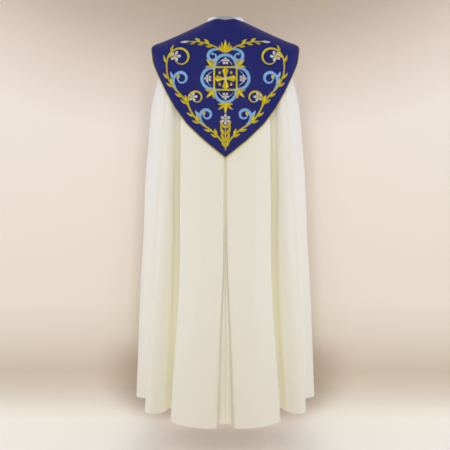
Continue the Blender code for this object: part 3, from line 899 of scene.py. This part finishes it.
def blue_satin():
    finish = Finish("blue_satin", Specular_IOR_Level=0.15)
    streak = finish.noise(1, 2, finish.place((40, 700, 1)))
    tone = finish.noise(14, 5, finish.place()) * 0.5 + streak * 0.5
    base = finish.mixed(tone, (0.009, 0.012, 0.125, 1), (0.017, 0.021, 0.170, 1))
    finish.feed("Base Color", base)
    finish.feed("Roughness", tone * 0.25 + 0.40)
    finish.bumped(finish.weave(0.0006, 30) * 0.6 + streak, 0.25, 0.0003)
    return finish.material


satin = blue_satin()
hood = cloth_mesh("hood_shield", hood_face)
hood.data.materials.append(satin)
wall(hood, HOOD_WALL)
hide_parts("hood")
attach(hood, "root")


# ------------------------------------------------------------
# The embroidery of the hood. Satin stitch in gold, sky blue and white thread over a little padding:
# a flared cross in a barbed quatrefoil, and a vine with blossoms and scrolls along the lower edges.

# The design is drawn flat, in millimetres: x from the middle of the back, z from the neckline. A
# stroke sets off from a place at a heading (0 is to the side, 90 is up) and turns by so many
# degrees over its length, evenly where "rush" is 1 and more towards its end where it is above 1.
Stroke = namedtuple("Stroke", "thread x z heading turn rush length width shape tint")
STROKE_STEP = 1.5  # millimetres between the places of a stroke's middle line
SCROLL_RUSH = 1.7
SKY_WIDTH = 7.5

# The width of a stroke along its length, as a share of its greatest width.
SHAPES = {
    "stem": lambda t: np.minimum(1, 0.45 + 6 * t) * (1 - 0.45 * t),
    "bar": np.ones_like,
    "scroll": lambda t: np.maximum(
        0.25 + 0.75 * np.sin(np.pi * np.clip(0.18 + 0.80 * t, 0, 1)), 1.05 * bump(t - 0.97, 0.035)),
    "petal": lambda t: np.sin(np.pi * t**1.5 * 0.97 + 0.05) ** 0.7,
    "arm": lambda t: 0.30 + 0.70 * t**1.6,
    "dot": lambda t: np.sqrt(np.clip(1 - (2 * t - 1) ** 2, 0.02, 1)),
    "leaf": lambda t: np.sin(np.pi * np.clip(t, 0.02, 0.985) ** 0.72) ** 0.85,
}


def drawn(stroke):
    """The places of a stroke's middle line and its half width at each."""
    count = max(4, int(stroke.length / STROKE_STEP) + 1)
    t = np.linspace(0, 1, count)
    middles = (t[1:] + t[:-1]) / 2
    ways = np.radians(stroke.heading + stroke.turn * middles**stroke.rush)
    steps = np.stack([np.cos(ways), np.sin(ways)], -1) * stroke.length / (count - 1)
    places = np.concatenate([[(0, 0)], np.cumsum(steps, axis=0)]) + [stroke.x, stroke.z]
    return places, stroke.width / 2 * SHAPES[stroke.shape](t)


def leaf(x, z, heading, length, width, turn, tint, thread="gold", shape="leaf"):
    return Stroke(thread, x, z, heading, turn, 1, length, width, shape, tint)


def from_middle(x, z, way, reach, **sizes):
    """A leaf or petal that starts `reach` away from a place, in the direction `way`."""
    turn = math.radians(way)
    return leaf(x + reach * math.cos(turn), z + reach * math.sin(turn), way, **sizes)


def dot(thread, x, z, size):
    return Stroke(thread, x - size / 2, z, 0, 0, 1, size, size, "dot", 0.8)


def blossom(x, z, size, petals, way=90):
    """White petals with a gold vein each, round a gold centre."""
    rows = []
    for turned in (way + 360 * i / petals for i in range(petals)):
        rows += [
            from_middle(x, z, turned, 0.20 * size, length=0.80 * size, width=2.6 * size / petals,
                        turn=0, tint=0.75, thread="white", shape="petal"),
            from_middle(x, z, turned, 0.20 * size, length=0.42 * size, width=0.10 * size,
                        turn=0, tint=0.3),
        ]
    return rows + [dot("gold", x, z, 0.42 * size)]


def bud(x, z, heading, size):
    """A closed white bud in a gold cup."""
    way = math.radians(heading)
    tip = (x + 0.28 * size * math.cos(way), z + 0.28 * size * math.sin(way))
    return [
        leaf(*tip, heading, size, 0.30 * size, 0, 0.85, "white"),
        leaf(x, z, heading + 16, 0.62 * size, 0.17 * size, -28, 0.55),
        leaf(x, z, heading - 16, 0.62 * size, 0.17 * size, 28, 0.35),
    ]


def stem_with_leaves(stroke, shares, length, width):
    """A stem and the leaves that leave it by turns on either side, at shares of its length."""
    rows = [stroke]
    places, _ = drawn(stroke)
    for i, share in enumerate(shares):
        at = int(share * (len(places) - 1))
        ahead = places[min(at + 1, len(places) - 1)] - places[max(at - 1, 0)]
        way = math.degrees(math.atan2(ahead[1], ahead[0]))
        hand = 1 if i % 2 else -1
        rows.append(leaf(*places[at], way + hand * 46, length * (1 - 0.25 * share), width,
                         hand * -36, 0.35 + 0.4 * (i % 2)))
    return rows


MEDALLION = (0.0, -205.0)
LOBE_OUT, LOBE_RADIUS = 45.0, 37.0


def medallion():
    """A flared cross in a barbed quatrefoil: four lobes with a square laced through them."""
    x, z = MEDALLION
    rows = []
    corner = (LOBE_OUT + math.sqrt(2 * LOBE_RADIUS**2 - LOBE_OUT**2)) / 2
    half_turn = math.degrees(math.atan2(corner, corner - LOBE_OUT))
    round_lobe = math.radians(2 * half_turn) * LOBE_RADIUS
    for way in (0, 90, 180, 270):
        c, s = math.cos(math.radians(way)), math.sin(math.radians(way))
        turned = lambda u, v: (x + u * c - v * s, z + u * s + v * c)
        rows += [
            Stroke("sky", *turned(corner, -corner), way - half_turn + 90, 2 * half_turn, 1,
                   round_lobe, SKY_WIDTH, "bar", 0.6),
            Stroke("white", *turned(44, -24), way + 90 - 76, 152, 1, 71, 2.2, "leaf", 0.6),
            Stroke("gold", *turned(39, -39), way + 90, 0, 1, 78, 4.4, "bar", 0.7),
            Stroke("gold", *turned(2, 0), way, 0, 1, 31, 22, "arm", 0.65),
            dot("gold", *turned(20, 20), 8),
            *blossom(*turned(60.5, 0), 13, 5, way),
            # Three leaves on each corner of the square
            leaf(*turned(42, 42), way + 45, 34, 10, 0, 0.7),
            leaf(*turned(40, 45), way + 74, 26, 7, 38, 0.4),
            leaf(*turned(45, 40), way + 16, 26, 7, -38, 0.5),
        ]
    return rows + [dot("white", x, z, 11)]


def end_of(stroke):
    """Where a stroke ends, and its heading there."""
    places, _ = drawn(stroke)
    return (*places[-1], stroke.heading + stroke.turn)


# The vine's bends, from the tip up: the turn of each, its length, and the scroll that leaves it at
# its end: thread, how far it turns away, how far it curls, its length and its blossom's size.
Bend = namedtuple("Bend", "turn length thread away curl reach blossom")
BENDS = [
    Bend(-24, 78, "sky", 14, 440, 150, 0),
    Bend(36, 82, "gold", 2, 395, 160, 16),
    Bend(-24, 78, "sky", 16, 425, 168, 0),
    Bend(42, 80, None, 0, 0, 0, 0),
]

VINE_FOOT = (12, -422, 54)  # x, z and heading beside the hood's tip
VINE_WIDTH = 4.6

# The leaves of each bend, at a share of its length; "hand" is 1 on the vine's left.
VineLeaf = namedtuple("VineLeaf", "share hand length tint")
VINE_LEAVES = [
    VineLeaf(0.30, -1, 27, 0.35),
    VineLeaf(0.40, 1, 22, 0.75),
    VineLeaf(0.68, -1, 27, 0.50),
]


def half_design():
    """What is worked on one side of the hood: the vine, its blossoms and the blue scrolls."""
    rows = []
    x, z, heading = VINE_FOOT
    for bend in BENDS:
        stem = Stroke("gold", x, z, heading, bend.turn, 1, bend.length, VINE_WIDTH, "bar", 0.55)
        places, _ = drawn(stem)
        for share, hand, length, tint in VINE_LEAVES:
            at = places[int(share * (len(places) - 1))]
            way = heading + bend.turn * share + hand * 44
            rows.append(leaf(*at, way, length, 8.5, -34 * hand, tint))
        rows.append(stem)
        x, z, heading = end_of(stem)
        if bend.thread:
            width = SKY_WIDTH if bend.thread == "sky" else 5.0
            scroll = Stroke(bend.thread, x, z, heading + bend.away, bend.curl, SCROLL_RUSH,
                            bend.reach, width, "scroll", 0.6)
            *end, way = end_of(scroll)
            rows.append(scroll)
            if bend.blossom:
                rows += blossom(*end, bend.blossom, 5, way)
            else:
                branch, _ = drawn(scroll)
                fork = branch[len(branch) * 2 // 7]
                rows += [dot("gold", *end, 10), leaf(*fork, heading - 4, 26, 7, 50, 0.8, "sky")]
    # The vine's end curls in under the shoulder line.
    last = Stroke("gold", x, z, heading, 385, SCROLL_RUSH, 232, 5.6, "scroll", 0.6)
    *end, way = end_of(last)
    rows += stem_with_leaves(last, [0.13, 0.22, 0.31], 30, 8.5) + blossom(*end, 19, 5, way)
    # A spray of leaves and a bud under the shoulder line, and a scroll beside it.
    spray = Stroke("gold", 6, -114, 38, -40, 1, 128, VINE_WIDTH, "stem", 0.6)
    rows += stem_with_leaves(spray, [0.36, 0.48, 0.60, 0.72, 0.84], 28, 7.5)
    rows += bud(*end_of(spray), 26)
    rows.append(Stroke("sky", 20, -104, 6, -400, SCROLL_RUSH, 122, SKY_WIDTH, "scroll", 0.6))
    # Leaves beside the centre line: at the tip, over the medallion and under it.
    for z, length, spread in ((-440, 30, 40), (-420, 34, 44), (-398, 36, 50), (-374, 30, 60)):
        rows.append(leaf(2, z, 90 - spread, length, 7.5, 52, 0.6))
    return rows + [
        leaf(2, -114, 60, 38, 8, 24, 0.45),
        leaf(3, -112, 32, 30, 7, 34, 0.7),
        leaf(1, -290, -58, 34, 8.5, 34, 0.4),
        leaf(1, -290, -22, 26, 7, 30, 0.7),
    ]


def centre_design():
    """What lies on the centre line, below and above the medallion."""
    return [
        Stroke("gold", 0, -452, 90, 0, 1, 92, 4.4, "stem", 0.6),
        *blossom(0, -346, 18, 6),
        leaf(0, -116, 90, 46, 11, 0, 0.75),
        leaf(0, -288, -90, 40, 9.5, 0, 0.75),
    ]


def whole_design():
    strokes = medallion() + centre_design()
    for stroke in half_design():
        mirrored = stroke._replace(x=-stroke.x, heading=180 - stroke.heading, turn=-stroke.turn)
        strokes += [stroke, mirrored]
    return strokes


WIDEST_STITCH = 8.0  # a broader stroke is worked in two slanted halves that meet in its middle
STITCH_SLANT = 0.55
STITCH_PITCH = 0.0009
STITCH_HALF_THREAD = 0.00056
# Painted shade and light: one slanted half of a broad stroke is darker, the other lighter.
HALF_TINT = 0.28
HALF_LAP = 0.15  # millimetres by which the two halves overlap each other
TINT_UNEVEN = 0.16
SATIN_UNEVEN = (0.97, 1.07)

hood_face_finder = BVHTree.FromPolygons(
    [vertex.co for vertex in hood.data.vertices], [face.vertices for face in hood.data.polygons]
)


def laid_on_hood(places):
    """Places of the flat design, in millimetres, laid on the hood's face, and the way out of it."""
    found = [
        hood_face_finder.ray_cast(Vector((x / 1000, -1, z / 1000)), Vector((0, 1, 0)))[:2]
        for x, z in places
    ]
    outs = [out if out.y < 0 else -out for _, out in found]
    return np.array([place for place, _ in found]), np.array(outs)


def halves(stroke):
    """The lines that a stroke is worked in, with the half width, slant and tint of each."""
    places, half_width = drawn(stroke)
    if stroke.width <= WIDEST_STITCH or stroke.shape == "dot":
        return [(places, half_width, 0.0, stroke.tint)]
    runs = np.gradient(places, axis=0)
    runs /= np.linalg.norm(runs, axis=1, keepdims=True)
    aside = np.stack([-runs[:, 1], runs[:, 0]], -1) * half_width[:, None] / 2
    return [
        (places + hand * aside, half_width / 2 + HALF_LAP, hand * STITCH_SLANT,
         stroke.tint + hand * HALF_TINT)
        for hand in (1, -1)
    ]


def worked_lines(name, strokes):
    """All the lines of one thread as one piece, for the stitches."""
    parts, edges, first = [], [], 0
    for stroke in strokes:
        for places, half_width, slant, tint in halves(stroke):
            points, out = laid_on_hood(places)
            edges += [(i, i + 1) for i in range(first, first + len(points) - 1)]
            first += len(points)
            even = np.ones(len(points))
            parts.append((points, out, half_width / 1000, slant * even, tint * even))
    points, out, half_width, slant, tint = (np.concatenate(item) for item in zip(*parts))
    return stitched_line(name, points, out, edges, half_width=half_width, slant=slant, tint=tint)


def satin_stitches(name, material):
    """Threads side by side across a line, each as long as the line is wide there."""
    pattern = Pattern(name, Pitch="Float", Thread="Float", Padding="Float", Swell="Float", Seed="Int")
    seed, wide = pattern.given("Seed"), pattern.read("half_width")
    tinted = pattern.add("GeometryNodeStoreNamedAttribute", {}, {
        "Geometry": pattern.spaced(pattern.given("Pitch")), "Name": "tint",
        "Value": pattern.read("tint") + pattern.uneven(-TINT_UNEVEN, TINT_UNEVEN, seed)})
    arch = pattern.arch((0, -1, 0), (0, 0, 1.5), (0, 1, 0))
    thread = pattern.add("GeometryNodeSetShadeSmooth", {}, {
        "Geometry": pattern.swept(arch, pattern.ring(3, 1))})
    slant = pattern.add("FunctionNodeEulerToRotation", {}, {
        "Euler": pattern.vector(Z=pattern.read("slant"))})
    turned = pattern.add("FunctionNodeRotateRotation", {"rotation_space": "LOCAL"}, {
        "Rotation": pattern.upright(), "Rotate By": slant})
    size = pattern.vector(
        X=pattern.given("Thread"), Y=wide * pattern.uneven(*SATIN_UNEVEN, seed + 1),
        Z=wide * pattern.given("Swell") + pattern.given("Padding"))
    return pattern.repeated(tinted, thread, turned, size, material)


def embroidery_thread(name, dark, light, metal):
    """Glossy twisted thread: its colour goes from painted shade to painted light with the stitch's own
    tint.
    """
    finish = Finish(name, Metallic=metal, Specular_IOR_Level=0.25)
    grain, tint = finish.noise(520, 2), finish.mark("tint")
    share = tint.math("MULTIPLY_ADD", tint, 0.8, grain * 0.2)
    finish.feed("Base Color", finish.mixed(share, dark, light))
    finish.feed("Roughness", grain * 0.2 + 0.32)
    finish.bumped(grain, 0.3, 0.0002)
    return finish.material


# The gold lies over the sky blue where they cross, so it is padded more; "padding" is the height of
# the narrowest stitch in metres and how much each stitch rises for its width.
# dark and light are each thread's colour in painted shade and in painted light; a stroke's tint sets
# where between them it lies.
Thread = namedtuple("Thread", "colour dark light metal padding slot seed")
THREADS = [
    Thread("gold", (0.50, 0.355, 0.004, 1), (1.00, 0.850, 0.018, 1), 0.10,
           (0.00050, 0.17), "gold_cord", 11),
    Thread("sky", (0.130, 0.310, 0.640, 1), (0.420, 0.730, 1.000, 1), 0.0,
           (0.00022, 0.055), "blue_satin", 23),
    Thread("white", (0.36, 0.39, 0.43, 1), (0.86, 0.88, 0.90, 1), 0.0,
           (0.00045, 0.16), "white_band", 37),
]
hood_design = whole_design()
blue_thread = thread_finish("blue_thread", (0.020, 0.028, 0.230, 1), 0.6)
row, row_out = at_height(hood_points, hood_out, HOOD_STITCHING)
hood_row = running_stitches("blue_stitching", blue_thread).applied(
    stitched_line("hood_stitching", row[2:-2], row_out[2:-2]),
    Length=STITCH_LENGTH, Gap=STITCH_GAP, Radius=THREAD_RADIUS * 0.8, Seed=5)
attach(hood_row, "root")
for thread in THREADS:
    material = embroidery_thread(f"{thread.colour}_thread", thread.dark, thread.light, thread.metal)
    strokes = [stroke for stroke in hood_design if stroke.thread == thread.colour]
    padding, swell = thread.padding
    worked = satin_stitches(f"{thread.colour}_satin_stitch", material).applied(
        worked_lines(f"embroidery_{thread.colour}", strokes),
        Pitch=STITCH_PITCH, Thread=STITCH_HALF_THREAD, Padding=padding, Swell=swell, Seed=thread.seed)
    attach(worked, "root")


# ------------------------------------------------------------
# The cord round the hood. Three strands of gold thread twisted together, sewn along the free edge
# from one end of the neckline to the other.

CORD_RADIUS = 0.0018
CORD_GAP = 0.0004
CORD_TWIST = 0.0105  # metres of cord to one full turn
CORD_STRANDS = 3
CORD_CORNERS = 12  # corners of its section
CORD_STEPS = 9  # steps along it to one full turn
CORD_LOBE = 0.16  # how far a strand stands out, as a share of the radius


def hood_cord_path(points):
    """The middle of the cord, just outside the hood's free edge, with its sides turned out."""
    edge = np.concatenate([points[:-1, 0], points[-1], points[-2::-1, -1]])
    inner = np.concatenate([points[:-1, 1], points[-4], points[-2::-1, -2]])
    # At the hood's two front corners the inside lies slantwise, not on the next row or column.
    inner[len(points) - 1], inner[-len(points)] = points[-4, 3], points[-4, -4]
    steps = np.diff(edge, axis=0)
    steps /= np.linalg.norm(steps, axis=1, keepdims=True)
    runs = (np.concatenate([steps[:1], steps]) + np.concatenate([steps, steps[-1:]])) / 2
    corner = np.linalg.norm(runs, axis=1, keepdims=True)  # below 1 where the edge turns
    runs /= corner
    outward = edge - inner
    outward -= runs * (outward * runs).sum(axis=1, keepdims=True)
    outward /= np.linalg.norm(outward, axis=1, keepdims=True)
    inwards = np.cross(outward, runs)
    inwards *= np.sign((inwards * (points.mean(axis=(0, 1)) - edge)).sum(axis=1, keepdims=True))
    return edge + outward * (CORD_RADIUS + CORD_GAP) / corner + inwards * HOOD_WALL / 2, -inwards


def gold_thread():
    finish = Finish("gold_thread", Metallic=0.2, Specular_IOR_Level=0.4)
    grain = finish.noise(420, 2)
    finish.feed("Base Color", finish.mixed(grain, (0.58, 0.42, 0.008, 1), (0.86, 0.68, 0.018, 1)))
    finish.feed("Roughness", grain * 0.25 + 0.27)
    finish.bumped(grain, 0.35, 0.0002)
    return finish.material


def twisted_cord(name, material):
    """Strands twisted round a line: a lobed section swept along it and turned as it goes."""
    pattern = Pattern(name, Radius="Float", Twist="Float", Strands="Int")
    twist = pattern.given("Twist")
    far = pattern.add("GeometryNodeSplineParameter", output=1)
    turned = pattern.add("GeometryNodeSetCurveTilt", {}, {
        "Curve": pattern.spaced(twist / CORD_STEPS), "Tilt": far / twist * (2 * math.pi)})
    angle = pattern.add("GeometryNodeInputIndex") * (2 * math.pi / CORD_CORNERS)
    lobe = angle.math("COSINE", angle * pattern.given("Strands"))
    place = pattern.add("ShaderNodeVectorMath", {"operation": "SCALE"}, {
        0: pattern.add("GeometryNodeInputPosition"),
        "Scale": pattern.given("Radius") * (lobe * CORD_LOBE + (1 - CORD_LOBE))})
    section = pattern.add("GeometryNodeSetPosition", {}, {
        "Geometry": pattern.ring(CORD_CORNERS, 1), "Position": place})
    pattern.ends_in(pattern.add("GeometryNodeSetShadeSmooth", {}, {
        "Geometry": pattern.swept(turned, section)}), material)
    return pattern


gold_cord = twisted_cord("gold_cord", gold_thread())
hood_cord = gold_cord.applied(
    stitched_line("hood_cord", *hood_cord_path(hood_points)),
    Radius=CORD_RADIUS, Twist=CORD_TWIST, Strands=CORD_STRANDS)
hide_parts("hood_piping")
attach(hood_cord, "root")


# ------------------------------------------------------------
# The tab across the chest. Blue satin over stiff interlining, with a fine gold cord round it; it is
# sewn to one front edge and hooks to the other, so the cope stays on the shoulders.

MORSE_HALF_WIDTH = 0.080
MORSE_TOP = -0.238
MORSE_HEIGHT = 0.075
MORSE_CORNER = 0.012
MORSE_STAND_OFF = 0.0028
MORSE_WALL = 0.003
MORSE_ROWS = 26
MORSE_COLUMNS = 60
MORSE_CORD_RADIUS = 0.0013
MORSE_CORD_TWIST = 0.0075


def morse_grid():
    """The tab's face, laid over the front edges of the panels."""
    fronts = [-ring.z_front for ring in COPE_RINGS]
    downs = [ring.down for ring in COPE_RINGS]
    grid = []
    for share in np.linspace(0, 1, MORSE_ROWS):
        row = []
        for x in np.linspace(-MORSE_HALF_WIDTH, MORSE_HALF_WIDTH, MORSE_COLUMNS):
            past = max(0, MORSE_CORNER - (MORSE_HALF_WIDTH - abs(x)))
            rounding = MORSE_CORNER - math.sqrt(MORSE_CORNER**2 - past**2)
            z = MORSE_TOP - rounding - share * (MORSE_HEIGHT - 2 * rounding)
            ring = ring_at(COPE_RINGS, np.interp(-z, fronts, downs))
            lean = (1 - (abs(x) / ring.half_width) ** SQUARENESS) ** (1 / SQUARENESS)
            row.append((x, ring.front * lean + MORSE_STAND_OFF + MORSE_WALL, z))
        grid.append(row[::-1])
    return np.array(grid)


morse_points = morse_grid()
morse = cloth_mesh("tab", morse_points)
morse.data.materials.append(satin)
wall(morse, MORSE_WALL)
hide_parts("morse")
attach(morse, "root")


def round_the_tab(points):
    """The middle of the cord that lies on the tab's rim, from the middle of the top right round."""
    start = points.shape[1] // 2
    rim, outs = (
        np.concatenate([
            grid[0, start:], grid[1:, -1], grid[-1, -2::-1], grid[-2::-1, 0], grid[0, 1:start + 1]])
        for grid in (points, facing_out(points)))
    return rim + outs * MORSE_CORD_RADIUS * 0.4, outs


tab_cord = gold_cord.applied(
    stitched_line("tab_cord", *round_the_tab(morse_points)),
    Radius=MORSE_CORD_RADIUS, Twist=MORSE_CORD_TWIST, Strands=CORD_STRANDS)
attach(tab_cord, "root")


# ------------------------------------------------------------
# The studio. A plain pale floor and backdrop, with painted shade in a band along the backdrop's
# foot and at its top and a painted shadow round the cope's foot; two soft lights behind the
# camera, one from each flank, one from above and one for the front of the cope.

FLOOR = -1.52
BACKDROP = 0.47
COVE = 0.10
STUDIO_FRONT, STUDIO_TOP, STUDIO_HALF_WIDTH = -9.0, 5.0, 8
# Painted light: the floor and backdrop glow a little, which lightens their shadows.
BACKDROP_GLOW = 0.075
BOW = 0.28  # how much lower the light on the backdrop lies towards its sides


def studio_mesh():
    """The floor, the cove and the backdrop as one strip, in metres away and up."""
    line = [(STUDIO_FRONT, FLOOR), (BACKDROP - COVE, FLOOR)]
    for turn in np.radians(np.linspace(10, 90, 9)):
        line.append((BACKDROP - COVE + COVE * math.sin(turn), FLOOR + COVE * (1 - math.cos(turn))))
    line.append((BACKDROP, STUDIO_TOP))
    count = len(line)
    mesh = bpy.data.meshes.new("studio")
    mesh.from_pydata(
        [(x, y, z) for x in (-STUDIO_HALF_WIDTH, STUDIO_HALF_WIDTH) for y, z in line], [],
        [(i, i + count, i + count + 1, i + 1) for i in range(count - 1)])
    mesh.shade_smooth()
    return placed("studio", mesh)


PAINTS = [  # from the front of the floor to the top of the backdrop
    (0.03, (0.83, 0.80, 0.75, 1)),  # the floor, pale cream
    (0.18, (0.82, 0.79, 0.71, 1)),
    (0.27, (0.75, 0.69, 0.58, 1)),  # its turn into the backdrop
    (0.34, (0.63, 0.53, 0.42, 1)),  # painted shade, a soft band along its foot where floor and backdrop meet
    (0.40, (0.75, 0.67, 0.56, 1)),
    (0.46, (0.83, 0.75, 0.64, 1)),  # the backdrop, pale rose
    (0.74, (0.88, 0.80, 0.71, 1)),
    (0.83, (0.77, 0.66, 0.57, 1)),
    (0.92, (0.57, 0.47, 0.38, 1)),  # painted shade again at its top
    (0.97, (0.51, 0.41, 0.31, 1)),
]


def studio_paint():
    """The paint, with a painted shadow in a pool round the cope's foot and in a haze beside it, higher
    up.
    """
    finish = Finish("studio_paint", Roughness=0.9, Emission_Strength=BACKDROP_GLOW)
    across, away, up = (finish.side(axis) for axis in range(3))
    high = finish.ramp(up, -1.1, 0.1, soft=False)
    share = finish.ramp(
        up + away - across * across * high * BOW, BACKDROP - 2.2, BACKDROP + 0.2, soft=False)
    paint = finish.add("ShaderNodeValToRGB", {"stops": PAINTS}, {"Fac": share})
    aside, level = across.math("ABSOLUTE", across), up + away - BACKDROP
    pool = finish.ramp(
        aside - finish.ramp(level, -1.80, -1.47, 0.245, 0.44, soft=False), 0.11, -0.11)
    for first, last in ((-1.22, -1.38), (-1.95, -1.78)):
        pool = pool * finish.ramp(level, first, last)
    paint = finish.mixed(pool, paint, (0.485, 0.39, 0.302, 1))
    haze = finish.ramp(
        aside - finish.ramp(level, -1.30, -0.27, 0.351, 0.306, soft=False), 0.065, -0.01, high=0.36)
    for first, last in ((-0.05, -0.50), (-1.66, -1.46)):
        haze = haze * finish.ramp(level, first, last, soft=False)
    paint = finish.mixed(haze, paint, (0.47, 0.375, 0.29, 1))
    # Under the hem and in front of it, the floor is painted lighter and warmer again: painted light
    # that softens the cope's shadow there.
    under = finish.ramp(level, -1.62, -1.85) * finish.ramp(aside, 0.36, 0.12)
    paint = finish.mixed(under, paint, (0.90, 0.79, 0.68, 1))
    finish.feed("Base Color", paint)
    finish.feed("Emission Color", paint)
    # Seen from behind, the backdrop isn't there.
    shown = finish.add("ShaderNodeMixShader", {}, {
        "Fac": finish.add("ShaderNodeNewGeometry", output="Backfacing"),
        1: Reading(finish, finish.shader.outputs["BSDF"]),
        2: finish.add("ShaderNodeBsdfTransparent")})
    finish.tree.links.new(shown.socket, finish.tree.nodes["Material Output"].inputs["Surface"])
    return finish.material


studio = studio_mesh()
studio.data.materials.append(studio_paint())
studio.visible_shadow = False

SoftLight = namedtuple("SoftLight", "name place aim width height power colour")
SOFT_LIGHTS = [
    SoftLight("back_light", (0.0, -4.6, 1.4), (0, 0, -0.7), 3.4, 2.6, 48.5, (0.91, 0.93, 1.0)),
    SoftLight("low_light", (0.0, -4.6, -0.3), (0, 0, -0.7), 2.0, 1.2, 21.5, (0.89, 0.91, 1.0)),
    SoftLight("left_light", (-3.0, -0.3, 0.2), (0, 0, -0.6), 1.2, 2.4, 26, (0.60, 0.67, 1.0)),
    SoftLight("right_light", (3.0, -0.3, 0.2), (0, 0, -0.6), 1.2, 2.4, 26, (0.60, 0.67, 1.0)),
    SoftLight("top_light", (0.0, 1.7, 2.3), (0, -0.5, -1.4), 2.2, 2.0, 21, (0.95, 0.97, 1.0)),
    SoftLight("chest_light", (0.0, 4.6, 1.2), (0, 0, -0.7), 3.4, 2.6, 70, (0.92, 0.95, 1.0)),
]
for light in SOFT_LIGHTS:
    lamp = bpy.data.lights.new(light.name, "AREA")
    lamp.shape, lamp.size, lamp.size_y = "RECTANGLE", light.width, light.height
    lamp.energy, lamp.color = light.power, light.colour
    made = placed(light.name, lamp)
    made.location = light.place
    aim = Vector(light.aim) - Vector(light.place)
    made.rotation_euler = aim.to_track_quat("-Z", "Y").to_euler()

world = bpy.data.worlds.new("room")
world.use_nodes = True
room = world.node_tree.nodes["Background"].inputs
room["Color"].default_value = (1.0, 0.96, 0.84, 1)
room["Strength"].default_value = 0.50
bpy.context.scene.world = world
bpy.context.scene.view_settings.view_transform = "Standard"

CAMERA_PLACE = (-0.0015, -4.0, -0.31)
CAMERA_TILT = 6.012  # degrees below level
CAMERA_LENS, CAMERA_SENSOR = 88.17, 36  # millimetres
camera = placed("camera", bpy.data.cameras.new("camera"))
camera.location = CAMERA_PLACE
camera.rotation_euler = (math.radians(90 - CAMERA_TILT), 0, 0)
camera.data.lens, camera.data.sensor_width = CAMERA_LENS, CAMERA_SENSOR
bpy.context.scene.camera = camera
